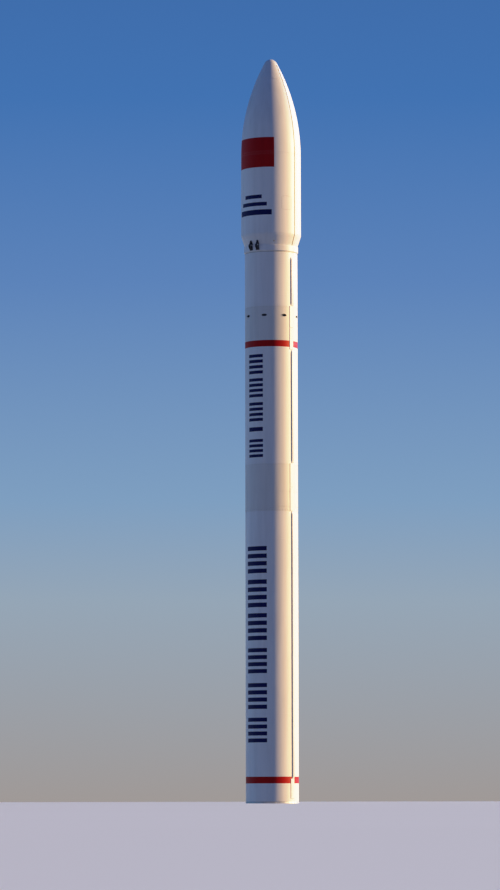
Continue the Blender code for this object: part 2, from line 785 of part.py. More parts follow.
def build_access_door(panel_profile):
    """A flush access door in a window of the front half."""
    low, high = DOOR_HEIGHTS
    place = side_place(DOOR_TURN_DEG, FAIRING_RADIUS, (low + high) / 2.0)
    through = 4.0 * FAIRING_WALL
    outline = rounded_rectangle(DOOR_WIDTH, high - low, DOOR_CORNER)
    fitted = rounded_rectangle(DOOR_WIDTH - 2.0 * GAP, high - low - 2.0 * GAP, DOOR_CORNER - GAP)
    window = plate("door_window", outline, through, place)
    combine(bpy.data.objects["fairing_front_panel"], window, "DIFFERENCE")
    door = turned("fairing_access_door", panel_profile, "white_paint", ring=True)
    door.rotation_euler.z = FAIRING_TWIST
    combine(door, plate("door_outline", fitted, through, place), "INTERSECT")
    carry(door, bpy.data.objects["fairing_front_axis"])


def build_load_space():
    """Upper stage, cone and ring that stand on the deck inside the fairing."""
    radius = UPPER_STAGE_RADIUS
    turned(
        "upper_stage",
        [
            (0.0, UPPER_STAGE_TOP - GAP),
            (radius - 0.030, UPPER_STAGE_TOP - GAP),
            (radius, UPPER_STAGE_TOP - 0.030),
            (radius, BOAT_TAIL_BOTTOM),
            (0.0, BOAT_TAIL_BOTTOM),
        ],
        "bare_metal",
    )
    turned(
        "payload_adapter",
        [
            (0.0, ADAPTER_TOP - GAP),
            (ADAPTER_RADII[1], ADAPTER_TOP - GAP),
            (ADAPTER_RADII[0], UPPER_STAGE_TOP + 0.030),
            (ADAPTER_RADII[0], UPPER_STAGE_TOP),
            (0.0, UPPER_STAGE_TOP),
        ],
        "dark_metal",
    )
    ring_section("payload_ring", ADAPTER_TOP, PAYLOAD_RING_TOP, *PAYLOAD_RING_RADII, "bare_metal")


clear_scene()
parts = new_collection(PART_NAME)
cutters = new_collection(PART_NAME + "_cutters")
build_body()
build_ducts()
build_propulsion()
build_fairing_ring()
build_fairing()
build_load_space()
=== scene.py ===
"""Looks of the space launch rocket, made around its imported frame.

Metres, +Z up. The decorated face looks along -Y, the cable ducts run up the +X and -X
sides, and the fairing splits at y = 0. A turn is an angle about Z in degrees, from the -Y
face towards +X. The camera stands at floor level at the photograph's angle and looks up.
"""

import math

import bmesh
import bpy
from mathutils import Matrix, Vector


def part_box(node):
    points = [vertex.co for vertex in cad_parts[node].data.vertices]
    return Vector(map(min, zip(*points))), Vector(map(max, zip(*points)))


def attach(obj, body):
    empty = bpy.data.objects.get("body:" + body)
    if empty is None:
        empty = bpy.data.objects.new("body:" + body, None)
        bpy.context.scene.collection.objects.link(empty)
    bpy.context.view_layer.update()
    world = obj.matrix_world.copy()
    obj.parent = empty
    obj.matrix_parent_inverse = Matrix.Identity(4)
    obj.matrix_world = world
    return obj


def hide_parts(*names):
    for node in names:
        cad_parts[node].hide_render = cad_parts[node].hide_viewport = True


# Sides of round shapes: the body, rings, small turned parts, fastener heads and port ovals
ROUND = 192
MEDIUM_ROUND = 96
SMALL_ROUND = 32
HEAD_SIDES = 10
PORT_SIDES = 40

# Edges sharper than this angle stay sharp; the blankets are softer
CREASE = 32.0
SOFT_CREASE = 60.0

# Bent plates are cut into upright strips of about this width
STRIP = 0.020

# Gloss of satin paint and of the deep colours
SATIN_GLOSS = 0.32
DEEP_GLOSS = 0.14

# The fairing's paint turns darker and bluer between two heights of its nose: painted shade and
# painted sky reflection where the nose tilts up
NOSE_SHADE_HEIGHTS = (17.30, 18.70)
NOSE_SHADE_TINT = (0.83, 0.85, 0.89)
PLAIN = (1.0, 1.0, 1.0)

# Radii of the vehicle
BODY_RADIUS = 0.700
SKIRT_INNER = 0.675
FAIRING_RADIUS = 0.7980
FAIRING_WALL = 0.025
RING_RADIUS = 0.720
RING_NECK = 0.690

# Fairing: heights and the round tip
BOAT_TAIL_BOTTOM = 14.790
BOAT_TAIL_TOP = 15.096
NOSE_BOTTOM = 17.250
CAP_BOTTOM = 19.300
TIP_HEIGHT = 19.880
TIP_RADIUS = 0.180

# Seams between the lengths of the body and of the fairing
SEAM_HALF = 0.0028
SEAM_EDGE = 0.0015
SEAM_END = SEAM_HALF + SEAM_EDGE
SEAM_DEPTH = 0.0060
FAIRING_SEAM_DEPTH = 0.0045

# Weld bead around a motor case: rise and height of its points, downwards
BEAD = ((0, 0.012), (0, 0.010), (0.001, 0.005), (0.001, -0.005), (0, -0.010), (0, -0.012))

# Painted marks stand a little proud of the skin and start a little below it
MARK_RISE = 0.0007
MARK_ROOT = 0.0010
MARK_STEP_DEG = 1.875
MARK_ROW = 0.055
BAR_SHARE = 0.58

# Decorated blocks of level bars: width, bars, (bottom, top) of each block
BAR_BLOCKS = (
    (0.66, ((1.60, 2.25), (2.48, 3.16), (3.42, 4.08), (4.29, 5.00), (5.16, 5.89), (6.06, 6.77))),
    (0.47, ((9.13, 9.61), (10.09, 10.59), (10.73, 11.23), (11.35, 11.87))),
)
BARS_IN_BLOCK = 4
STRIPE_TURN, STRIPE_HEIGHTS = 19.0, (9.82, 9.93)

# On the fairing: bars (bottom, top, width), and the panel's half turn and heights
FAIRING_BARS = ((16.02, 16.12, 0.56), (15.82, 15.92, 0.84), (15.58, 15.72, 1.10))
PANEL_TURN, PANEL_HEIGHTS = 44.5, (16.857, 17.660)

# Round lengths of the body that are plain
SECTIONS = (
    # node, finish, inner radius, seam at (bottom, top), weld beads downwards
    ("joint_ring_1_2", "warm_white", 0.0, (True, True), ()),
    ("interstage_1_2_lower", "warm_white", 0.0, (True, True), ()),
    ("interstage_1_2_upper", "warm_white", 0.0, (True, True), ()),
    ("stage2_case", "white", 0.0, (True, False), (11.95, 9.06)),
    ("red_band_upper", "red", 0.0, (False, False), ()),
    ("stage3_case", "white", 0.0, (True, True), (14.30, 13.45)),
    ("aft_skirt", "white", SKIRT_INNER, (True, False), ()),
    ("red_band_lower", "red", SKIRT_INNER, (False, True), ()),
)

# Rows of fasteners beside the body's seams
FASTENER_ROWS = (
    # number of heads, size, heights
    (72, 0.0060, (0.085,)),
    (72, 0.0050, (0.495, 0.735, 12.035, 12.280, 14.560)),
    (72, 0.0055, (7.660, 7.855, 8.915, 8.995, 13.110, 13.190)),
    (60, 0.0050, (8.185, 8.262)),
    (60, 0.0045, (12.670,)),
)

JOINT_BOLT_ROWS = (
    # height, size, first turn
    (7.742, 0.0080, 0.0),
    (7.778, 0.0050, 3.0),
)
# Turns that the rows leave free for the ducts: centre, half width
DUCT_TURNS = ((88.5, 8.8), (-88.5, 8.8))

# Oval ports of the upper interstage: height of their centres, half width and half height
PORT_HEIGHT = 12.910
PORT_HALF = (0.075, 0.035)

# Cable ducts: slope of the ends, lengths, grooves between them, straps; turn of the covers
DUCT_SLOPE = 2.2
DUCT_LENGTH = 1.15
DUCT_GROOVE = 0.0022
DUCT_STRAP_PITCH = 0.58
DUCT_LIP = 0.0022
COVER_TURN = 2.5

# Split between the fairing halves: a shallow channel with a strip of sealant in it
SPLIT_GAP = 0.0006
CHANNEL_WIDTH = 0.0165
CHANNEL_DEPTH = 0.0035

# Fasteners of the fairing: level rows, and heights (first, last, steps) along the split
FAIRING_HEAD_SIZE = 0.0042
FAIRING_HEAD_HEIGHTS = (14.822, 15.066, 15.126, 17.220, 17.280, 19.270, 19.330)
SPLIT_HEADS = (15.170, 17.120, 15)
SPLIT_HEAD_AWAY = 0.036

# Inside of the fairing: turns where frames and blankets end, their heights and depths
FRAME_END = 84.9
FRAME_HEIGHTS = (14.830, 15.096, 16.170, 17.250, 18.280, 19.240)
FRAME_HALF = 0.022
BLANKET_END = 84.0
BLANKET_BAYS = ((15.135, 16.130), (16.210, 17.210), (17.290, 18.240), (18.320, 19.200))
BLANKET_THIN, BLANKET_THICK = 0.003, 0.011

# Access door in the front half, and the vents in the boat tail
DOOR_TURN = 70.0
DOOR_HEIGHT = 15.910
DOOR_SIZE = (0.310, 0.360)
DOOR_CORNER = 0.050
VENT_TURN = 44.0
VENT_HEIGHT = 14.885
VENT_RADIUS = 0.0160

# Nozzle and its seal
PIVOT_HEIGHT = 0.560
HEAD_RADIUS = 0.2700
SEAL_GAP = 0.0008
SEAL_THICKNESS = 0.0300
SEAL_ANGLES = (50.0, 70.0)
SEAL_LAYERS = 7
BOSS_OUTER = 0.3647
BOSS_BOLTS = 0.333
THROAT_RADIUS = 0.120
INLET_RADIUS = 0.150
THROAT_HEIGHT = 0.530
EXIT_RADIUS = 0.385
EXIT_HEIGHT = 0.100
NOZZLE_WALL = 0.016
NECK_TOP = (0.235, 0.610)
NECK_BOTTOM = (0.225, 0.530)
FLANGE_SHARE = 0.25
FLANGE_REACH = 0.028
FLANGE_THICKNESS = 0.014
FLANGE_GAP = 0.0004

# Steering arms and actuators
ARM_REACH = 0.550
ARM_PAD_RADIUS = 0.240
ARM_SIDES = (("pitch", 0.0), ("yaw", 90.0))
ROD_RADIUS = 0.0138

# Fairing hinges
HINGE_OFFSETS = (-0.110, 0.110)
HINGE_RADIUS = 0.765
HINGE_FOOT_HEIGHT = 14.714
LUG_STRAP_HEIGHT = 14.862
HALVES = (("front", 0.0), ("rear", 180.0))

# Camera: the photograph's frame is 500 by 890 pixels
PHOTO_SIZE = (500.0, 890.0)
SENSOR = 36.0
LENS = 168.4
CAMERA_TURN = 38.0
CAMERA_DISTANCE = 110.39
CAMERA_HEIGHT = 0.05
CAMERA_PITCH = 4.895
CAMERA_ROLL = -0.11
AXIS_PIXEL = 271.6

# Light values above the knee are pressed together, up to the brightest one
KNEE = 0.80
BRIGHTEST = 2.2
SHOULDER = (1.25, 0.955)

# Lights: name, turn from the camera to its right, height and size in degrees, strength, colour
LIGHTS = (
    ("key", 95.0, 12.0, 4.0, 6.5, (1.0, 0.64, 0.27)),
    ("rim", 130.0, 20.0, 30.0, 2.5, (0.42, 0.70, 1.0)),
    ("sky", -105.0, 2.0, 60.0, 0.26, (0.26, 0.60, 1.0)),
)

# Fill light: share of the way from just below the horizon up, colour
FILL_HEIGHTS = (-0.10, 0.30)
FILL_STOPS = (
    (0.10, (0.130, 0.128, 0.165)),
    (0.17, (0.350, 0.320, 0.310)),
    (0.25, (0.350, 0.320, 0.310)),
    (0.37, (0.300, 0.380, 0.470)),
    (0.43, (0.210, 0.345, 0.530)),
    (0.56, (0.108, 0.228, 0.490)),
    (0.67, (0.054, 0.170, 0.445)),
    (1.00, (0.032, 0.085, 0.270)),
)
FLOOR_REACH = 4000.0


class Shape:
    """Points and faces gathered for one piece."""

    def __init__(self, points=(), faces=()):
        self.points = [Vector(point) for point in points]
        self.faces = [tuple(face) for face in faces]

    def face(self, *corners):
        """Add a face without its repeated corners, if enough are left."""
        corners = tuple(dict.fromkeys(corners))
        if len(corners) > 2:
            self.faces.append(corners)

    def add(self, other):
        """Join another shape on as a body of its own."""
        start = len(self.points)
        self.points += [point.copy() for point in other.points]
        self.faces += [tuple(start + index for index in face) for face in other.faces]
        return self

    def moved(self, place):
        """The same shape carried by a matrix, or by a function of a point."""
        carry = place if callable(place) else (lambda point: place @ point)
        return Shape([carry(point) for point in self.points], self.faces)


def spread(first, last, steps):
    """Even values from first to last, both included."""
    return [first + (last - first) * index / steps for index in range(steps + 1)]


def middles(first, last, count):
    """The middles of equal parts between two values."""
    return [first + (last - first) * (index + 0.5) / count for index in range(count)]


def rotated(degrees, axis="Z"):
    """A rotation about an axis."""
    return Matrix.Rotation(math.radians(degrees), 4, axis)


def beside(turn, radius, height):
    """A place beside the body: X across, Y inward, Z up."""
    return rotated(turn) @ Matrix.Translation((0.0, -radius, height))


def on_side(turn, radius, height):
    """A place on the body's side: X across, Y up, Z out."""
    return beside(turn, radius, height) @ rotated(90.0, "X")


def on_slope(turn, height):
    """A place on the boat tail: X across, Y up the slope, Z square out of it."""
    lean = math.atan2(FAIRING_RADIUS - BODY_RADIUS, BOAT_TAIL_TOP - BOAT_TAIL_BOTTOM)
    return on_side(turn, fairing_radius(height), height) @ rotated(math.degrees(lean), "X")


def polar(reach, angle, height):
    """A point by its distance from the axis, its turn in radians and its height."""
    return Vector((reach * math.sin(angle), -reach * math.cos(angle), height))


def bent(turn, radius, height=0.0):
    """Carry (across, up, out) points on to a round side instead of a flat one."""

    def carry(point):
        across, up, out = Vector(point)
        return polar(radius + out, math.radians(turn) + across / radius, height + up)

    return carry


def stood(point):
    """Swap up and out, so that levels stacked upwards follow each other up a side."""
    return Vector((point.x, point.z, point.y))


def arc(radius, first, last, steps, centre=(0.0, 0.0)):
    """Points along an arc in a plane, angles in degrees."""
    angles = [math.radians(angle) for angle in spread(first, last, steps)]
    return [(centre[0] + radius * math.cos(a), centre[1] + radius * math.sin(a)) for a in angles]


def circle(radius, sides):
    """Points around a whole circle."""
    return arc(radius, 0.0, 360.0 - 360.0 / sides, sides - 1)


def mirrored(line, axis=0):
    """A line of points, and back along its image across x = 0 (axis 0) or y = 0 (axis 1)."""
    across, up = (-1, 1) if axis == 0 else (1, -1)
    return line + [(x * across, y * up) for x, y in reversed(line)]


def stitched(rows, wraps):
    """Faces between rows of points, and back from the last row to the first.

    A row whose points are all one is a pole. Also gives the points' numbers, row by row.
    """
    shape, numbers = Shape(), []
    for row in rows:
        start = len(shape.points)
        pole = row[0] == row[-1]
        shape.points += row[:1] if pole else row
        numbers.append([start] * len(row) if pole else list(range(start, start + len(row))))
    for upper, lower in zip(numbers, numbers[1:] + numbers[:1]):
        for column in range(len(upper) if wraps else len(upper) - 1):
            after = (column + 1) % len(upper)
            shape.face(upper[column], lower[column], lower[after], upper[after])
    return shape, numbers


def turned(profile, steps=ROUND):
    """Turn a closed profile of (radius, height) about Z."""
    angles = [math.radians(360.0 * column / steps) for column in range(steps)]
    rows = [[polar(radius, angle, height) for angle in angles] for radius, height in profile]
    return stitched(rows, wraps=True)[0]


def lofted(rings, closed_ends=True):
    """Join equal rings of points in order, with flat ends."""
    count = len(rings[0])
    shape = Shape([point for ring in rings for point in ring])
    for low in range(0, count * (len(rings) - 1), count):
        high = low + count
        for index in range(count):
            after = (index + 1) % count
            shape.face(low + index, low + after, high + after, high + index)
    if closed_ends:
        shape.face(*reversed(range(count)))
        shape.face(*range(len(shape.points) - count, len(shape.points)))
    return shape


def stacked(levels, closed_ends=True):
    """Join flat outlines, each at its own height."""
    rings = [[Vector((x, y, height)) for x, y in outline] for outline, height in levels]
    return lofted(rings, closed_ends)


def inset(outline, distance):
    """Move an outline's points inward, each along the bisector of its corner."""
    moved = []
    for index, point in enumerate(outline):
        here, following = Vector(point), Vector(outline[(index + 1) % len(outline)])
        before = (here - Vector(outline[index - 1])).normalized()
        after = (following - here).normalized()
        inward = Vector((-before.y, before.x))
        across = (inward + Vector((-after.y, after.x))).normalized()
        slope = max(0.3, across.dot(inward))
        moved.append(tuple(here + across * distance / slope))
    return moved


def slab(outline, low, high, chamfer=0.0, both=False):
    """A flat plate of a counter-clockwise outline, with its top or both edges chamfered."""
    if not chamfer:
        return stacked([(outline, low), (outline, high)])
    small = inset(outline, chamfer)
    foot = [(small, low), (outline, low + chamfer)] if both else [(outline, low)]
    return stacked(foot + [(outline, high - chamfer), (small, high)])


def rounded(width, height, corner, steps=4, foot=None):
    """A rectangle with round corners about its own centre; a foot makes its bottom wider."""
    points = []
    for across, up, first in ((1, 1, 0.0), (-1, 1, 90.0), (-1, -1, 180.0), (1, -1, 270.0)):
        wide = (foot or width) if up < 0 else width
        centre = (across * (wide / 2 - corner), up * (height / 2 - corner))
        points += arc(corner, first, first + 90.0, steps, centre)
    return points


def to_mesh(name, shape):
    """A new mesh of a shape."""
    mesh = bpy.data.meshes.new(name)
    mesh.from_pydata(shape.points, [], shape.faces)
    return mesh


def from_mesh(mesh):
    """Read a mesh back into a shape and drop the mesh."""
    shape = Shape([v.co for v in mesh.vertices], [face.vertices for face in mesh.polygons])
    bpy.data.meshes.remove(mesh)
    return shape


def outward_mesh(name, shape):
    """A new mesh of a closed shape, with every face turned outward."""
    mesh = to_mesh(name, shape)
    work = bmesh.new()
    work.from_mesh(mesh)
    bmesh.ops.recalc_face_normals(work, faces=work.faces)
    work.to_mesh(mesh)
    work.free()
    return mesh


def sliced(shape, step=STRIP):
    """Cut a flat shape into upright strips, so that it can be bent."""
    mesh = to_mesh("strips", shape)
    work = bmesh.new()
    work.from_mesh(mesh)
    across = [point.x for point in shape.points]
    low, high = min(across), max(across)
    for at in spread(low, high, max(1, math.ceil((high - low) / step)))[1:-1]:
        everything = work.verts[:] + work.edges[:] + work.faces[:]
        bmesh.ops.bisect_plane(work, geom=everything, plane_co=(at, 0, 0), plane_no=(1, 0, 0))
    work.to_mesh(mesh)
    work.free()
    return from_mesh(mesh)


def in_scene(name, data):
    """A new object in the scene."""
    made = bpy.data.objects.new(name, data)
    bpy.context.scene.collection.objects.link(made)
    return made


def carved(shape, cutter):
    """The shape with another cut out of it, by an exact Boolean."""
    work = in_scene("work", outward_mesh("work", shape))
    tool = in_scene("cutter", outward_mesh("cutter", cutter))
    modifier = work.modifiers.new("cut", "BOOLEAN")
    modifier.operation = "DIFFERENCE"
    modifier.solver = "EXACT"
    modifier.object = tool
    graph = bpy.context.evaluated_depsgraph_get()
    result = bpy.data.meshes.new_from_object(work.evaluated_get(graph))
    bpy.data.objects.remove(work)
    bpy.data.objects.remove(tool)
    return from_mesh(result)


def piece(name, shape, colour, body, *nodes, crease=CREASE):
    """Make a finished piece of a shape. It rides on a body and stands for the nodes named."""
    mesh = outward_mesh(name, shape)
    mesh.shade_smooth()
    mesh.set_sharp_from_angle(angle=math.radians(crease))
    mesh.materials.append(finishes[colour])
    made = in_scene(name, mesh)
    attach(made, body)
    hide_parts(*nodes)


def curved_block(radius_at, turns, heights, depths, columns, rows=1):
    """A block that follows a round skin, between two turns, two heights and two depths.

    A depth can be a function of the shares of the block's width and height.
    """
    rings = []
    for row, height in enumerate(spread(*heights, rows)):
        ring = []
        for depth, order in ((depths[1], range(columns + 1)), (depths[0], range(columns, -1, -1))):
            for column in order:
                angle = math.radians(turns[0] + (turns[1] - turns[0]) * column / columns)
                rise = depth(column / columns, row / rows) if callable(depth) else depth
                ring.append(polar(radius_at(height) + rise, angle, height))
        rings.append(ring)
    return lofted(rings)


def head(place, size, rise=0.45):
    """One round fastener head on a place whose Z points out."""
    # share of the size: across, out
    levels = ((1.0, -0.3), (1.0, 0.6 * rise), (0.72, rise))
    outlines = [(circle(size * scale, HEAD_SIDES), out * size) for scale, out in levels]
    return stacked(outlines).moved(place)


def head_row(shape, radius, height, count, size, first=0.0, sweep=360.0, avoid=(), rise=0.45):
    """Add a level row of heads around the body, away from the turns to avoid."""
    for turn in middles(first, first + sweep, count):
        if all(abs((turn - centre + 180.0) % 360.0 - 180.0) > half for centre, half in avoid):
            shape.add(head(on_side(turn, radius, height), size, rise))


def heads_on(shape, turn, radius, height, spots, size, rise=0.45, proud=0.0):
    """Add heads at (across, up) spots around a point of a side, on a plate this proud."""
    for across, up in spots:
        spot = on_side(turn + math.degrees(across / radius), radius + proud, height + up)
        shape.add(head(spot, size, rise))


def span(node):
    """The lowest and highest height of a CAD node."""
    low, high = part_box(node)
    return low.z, high.z


def feed(tree, node, inputs):
    """Set a node's inputs by name: sockets are linked, other values are set."""
    for name, value in inputs.items():
        if isinstance(value, bpy.types.NodeSocket):
            tree.links.new(value, node.inputs[name])
        else:
            node.inputs[name].default_value = value


def add_node(tree, kind, inputs=None, **properties):
    """A new shader node with its properties and inputs."""
    made = tree.nodes.new("ShaderNode" + kind)
    for name, value in properties.items():
        setattr(made, name, value)
    feed(tree, made, inputs or {})
    return made


def finish(name, colour, roughness, metallic=0.0, coat=0.0, gloss=0.5, sheen=0.0):
    """A new finish, with the values that are even all over: its material and node tree."""
    material = bpy.data.materials.new(name)
    material.use_nodes = True
    tree = material.node_tree
    even = {
        "Base Color": (*colour, 1.0),
        "Roughness": roughness,
        "Metallic": metallic,
        "Coat Weight": coat,
        "Coat Roughness": 0.25,
        "Specular IOR Level": gloss,
        "Sheen Weight": sheen,
    }
    feed(tree, tree.nodes["Principled BSDF"], even)
    return material, tree


def grain(tree, scale, stretch=PLAIN, detail=3.0):
    """Noise in a piece's own metres, stretched along its axes."""
    place = add_node(tree, "TexCoord").outputs["Object"]
    mapped = add_node(tree, "Mapping", {"Vector": place, "Scale": stretch}).outputs["Vector"]
    inputs = {"Vector": mapped, "Scale": scale, "Detail": detail}
    return add_node(tree, "TexNoise", inputs).outputs["Fac"]


def layers(tree, scale, distortion):
    """Even level bands, as in wound or stacked material."""
    place = add_node(tree, "TexCoord").outputs["Object"]
    inputs = {"Vector": place, "Scale": scale, "Distortion": distortion, "Detail": 2.0}
    return add_node(tree, "TexWave", inputs, bands_direction="Z").outputs["Fac"]


def ramp(tree, value, low, high, start=0.3, stop=0.7):
    """Colours from low to high as a value goes from start to stop."""
    made = add_node(tree, "ValToRGB", {"Fac": value})
    first, last = made.color_ramp.elements
    first.position, first.color = start, (*low, 1.0)
    last.position, last.color = stop, (*high, 1.0)
    return made.outputs["Color"]


def multiplied(tree, first, second):
    """One colour darkened by another."""
    inputs = {"Factor": 1.0, "A": first, "B": second}
    made = add_node(tree, "Mix", inputs, data_type="RGBA", blend_type="MULTIPLY")
    return made.outputs["Result"]


def darkened(tree, base, value, dark, start, stop):
    """A colour darkened where a value is below a range."""
    return multiplied(tree, base, ramp(tree, value, dark, PLAIN, start, stop))


def faded(tree, base, heights, shade_tint):
    """A colour that takes on a tint from one height to another; on the nose this paints shade and
    sky reflection.
    """
    place = add_node(tree, "TexCoord").outputs["Object"]
    height = add_node(tree, "SeparateXYZ", {"Vector": place}).outputs["Z"]
    inputs = {"Value": height, "From Min": heights[0], "From Max": heights[1]}
    share = add_node(tree, "MapRange", inputs).outputs["Result"]
    return multiplied(tree, base, ramp(tree, share, PLAIN, shade_tint, 0.0, 1.0))


def shaded(colour, share):
    """A colour made darker by a share."""
    return tuple(channel * share for channel in colour)


def finished(material, base, rough, *bumps):
    """Link a finish's colour, its roughness and its bumps, and give its material.

    The roughness is (value, low, high), and a bump is (value, depth in metres, strength).
    """
    tree = material.node_tree
    value, low, high = rough
    limits = {"Value": value, "To Min": low, "To Max": high}
    links = {"Base Color": base, "Roughness": add_node(tree, "MapRange", limits).outputs["Result"]}
    for value, depth, strength in bumps:
        inputs = {"Height": value, "Distance": depth, "Strength": strength}
        if "Normal" in links:
            inputs["Normal"] = links["Normal"]
        links["Normal"] = add_node(tree, "Bump", inputs).outputs["Normal"]
    feed(tree, tree.nodes["Principled BSDF"], links)
    return material


def paint(name, colour, roughness, coat=0.04, wear=0.93, gloss=SATIN_GLOSS, shade_tint=None):
    """Sprayed satin paint: faint rain streaks and blotches, orange peel and a slow ripple. A shade
    tint adds painted shade and sky reflection up the nose.
    """
    material, tree = finish(name + "_paint", colour, roughness, coat=coat, gloss=gloss)
    streaks = grain(tree, 5.0, (1.6, 1.6, 0.12), 5.0)
    blotches = grain(tree, 1.1, (1.0, 1.0, 0.6), 2.0)
    specks = grain(tree, 42.0, detail=6.0)
    base = ramp(tree, streaks, shaded(colour, wear), colour, 0.34, 0.58)
    base = darkened(tree, base, blotches, (0.955, 0.955, 0.96), 0.35, 0.65)
    base = darkened(tree, base, specks, (0.93, 0.93, 0.92), 0.28, 0.40)
    # Painted shade and sky reflection: the colour turns darker and bluer up the nose
    if shade_tint:
        base = faded(tree, base, NOSE_SHADE_HEIGHTS, shade_tint)
    peel = (grain(tree, 260.0, detail=2.0), 0.0004, 0.22)
    ripple = (grain(tree, 3.2, (1.0, 1.0, 0.5), 1.0), 0.010, 0.10)
    return finished(material, base, (streaks, roughness + 0.07, roughness - 0.05), peel, ripple)


def brushed_metal(name, colour, roughness, stretch):
    """Machined metal with fine tool marks and handling smudges."""
    material, tree = finish(name, colour, roughness, metallic=1.0)
    marks = grain(tree, 60.0, stretch, 4.0)
    base = ramp(tree, grain(tree, 6.0), shaded(colour, 0.82), colour, 0.35, 0.6)
    rough = (marks, roughness - 0.10, roughness + 0.14)
    return finished(material, base, rough, (marks, 0.0004, 0.35))


def dark_fitting(name):
    """Black conversion coat on the hinges, rubbed to grey in places."""
    colour = (0.022, 0.025, 0.038)
    material, tree = finish(name, colour, 0.42, metallic=0.35)
    rub = grain(tree, 24.0, detail=5.0)
    base = ramp(tree, rub, colour, (0.075, 0.078, 0.088), 0.55, 0.78)
    return finished(material, base, (rub, 0.50, 0.34), (grain(tree, 320.0), 0.0003, 0.3))


def wrapped_carbon(name):
    """Carbon cloth tape wrapped in rings around the nozzle, charred grey at its ridges."""
    colour = (0.050, 0.046, 0.044)
    material, tree = finish(name, colour, 0.68)
    tape = layers(tree, 18.0, 1.2)
    weave = grain(tree, 170.0, (1.0, 1.0, 4.0))
    base = ramp(tree, tape, shaded(colour, 0.65), (0.085, 0.078, 0.072), 0.2, 0.9)
    base = darkened(tree, base, weave, (0.7, 0.7, 0.7), 0.35, 0.6)
    return finished(material, base, (weave, 0.55, 0.80), (tape, 0.002, 0.4), (weave, 0.0008, 0.5))


def seal_rubber(name):
    """Matt rubber with the edges of its thin metal layers."""
    colour = (0.018, 0.018, 0.018)
    material, tree = finish(name, colour, 0.78)
    sheets = layers(tree, 60.0, 0.2)
    dust = grain(tree, 30.0, detail=4.0)
    base = ramp(tree, sheets, colour, (0.10, 0.10, 0.10), 0.72, 0.95)
    return finished(material, base, (dust, 0.68, 0.88), (sheets, 0.001, 0.5), (dust, 0.0005, 0.3))


def insulation(name):
    """Brown-grey rubbery insulation that covers the aft dome."""
    colour = (0.115, 0.095, 0.080)
    material, tree = finish(name, colour, 0.72)
    patches = grain(tree, 9.0, detail=5.0)
    base = ramp(tree, patches, shaded(colour, 0.7), colour, 0.3, 0.65)
    bumps = ((patches, 0.004, 0.3), (grain(tree, 140.0), 0.0008, 0.4))
    return finished(material, base, (patches, 0.62, 0.82), *bumps)


def quilt(name):
    """Pale foam blankets on the inside of the fairing, in a sewn cloth cover."""
    colour = (0.62, 0.60, 0.55)
    material, tree = finish(name, colour, 0.78, sheen=0.15)
    weave = grain(tree, 220.0, detail=2.0)
    puffs = grain(tree, 7.0, detail=2.0)
    base = ramp(tree, puffs, shaded(colour, 0.86), colour, 0.35, 0.62)
    base = darkened(tree, base, weave, (0.85, 0.85, 0.85), 0.35, 0.55)
    return finished(material, base, (weave, 0.70, 0.86), (puffs, 0.012, 0.35), (weave, 0.0006, 0.5))


def gold_film(name):
    """Crinkled amber film around the upper stage."""
    colour = (0.72, 0.43, 0.12)
    material, tree = finish(name, colour, 0.22, metallic=1.0)
    folds = grain(tree, 16.0, (1.0, 1.0, 1.4), 6.0)
    fine = grain(tree, 70.0)
    base = ramp(tree, folds, shaded(colour, 0.62), colour, 0.35, 0.65)
    return finished(material, base, (fine, 0.14, 0.34), (folds, 0.020, 0.8), (fine, 0.003, 0.5))


def floor_finish():
    """Pale matt studio floor."""
    colour = (0.80, 0.79, 0.78)
    material, tree = finish("floor_finish", colour, 0.85)
    cloud = ramp(tree, grain(tree, 0.25, detail=4.0), shaded(colour, 0.985), colour)
    feed(tree, tree.nodes["Principled BSDF"], {"Base Color": cloud})
    return material


def make_finishes():
    """Every finish of the rocket, by name."""
    return {
        "white": paint("white", (0.86, 0.855, 0.845), 0.42),
        "warm_white": paint("warm_white", (0.79, 0.775, 0.735), 0.46),
        "fairing": paint("fairing", (0.87, 0.865, 0.855), 0.40, shade_tint=NOSE_SHADE_TINT),
        "duct": paint("duct", (0.86, 0.855, 0.84), 0.44),
        "primer": paint("primer", (0.50, 0.53, 0.46), 0.55, coat=0.0),
        "sealant": paint("sealant", (0.24, 0.23, 0.17), 0.66, coat=0.0),
        # Darker seal in the fairing ring's neck groove: painted shade of the groove
        "ring_seal_shade": paint("ring_seal_shade", (0.40, 0.38, 0.34), 0.70, coat=0.0),
        "red": paint("red", (0.46, 0.003, 0.004), 0.48, 0.0, 0.88, DEEP_GLOSS),
        "navy": paint("navy", (0.003, 0.006, 0.080), 0.52, 0.0, 0.85, DEEP_GLOSS),
        "steel": brushed_metal("steel", (0.46, 0.46, 0.46), 0.34, (1.0, 1.0, 0.1)),
        "aluminium": brushed_metal("aluminium", (0.58, 0.58, 0.57), 0.50, (0.2, 0.2, 3.0)),
        "dark": dark_fitting("dark_fitting"),
        "carbon": wrapped_carbon("wrapped_carbon"),
        "rubber": seal_rubber("seal_rubber"),
        "insulation": insulation("insulation"),
        "quilt": quilt("quilt"),
        "gold": gold_film("gold_film"),
    }


def body_radius(_height):
    """Outer radius of the body below the fairing."""
    return BODY_RADIUS


def seam_step(radius_at, height, way, depth):
    """From a seam's floor out to the skin's edge, above (way 1) or below (way -1) the seam."""
    radius, edge = radius_at(height), height + way * SEAM_HALF
    return [(radius - depth, height), (radius - depth, edge), (radius - SEAM_EDGE, edge)]


def skin_side(radius_at, low, high, depth, steps=1, seams=(True, True), beads=()):
    """The outer side of a length, downwards, with a seam step at each end that has one."""
    heights = spread(high - SEAM_END * seams[1], low + SEAM_END * seams[0], steps)
    side = seam_step(radius_at, high, -1, depth) if seams[1] else []
    side += [(radius_at(height), height) for height in heights[:-1]]
    side += [(radius_at(bead) + rise, bead + up) for bead in beads for rise, up in BEAD]
    side.append((radius_at(heights[-1]), heights[-1]))
    if seams[0]:
        side += reversed(seam_step(radius_at, low, 1, depth))
    return side


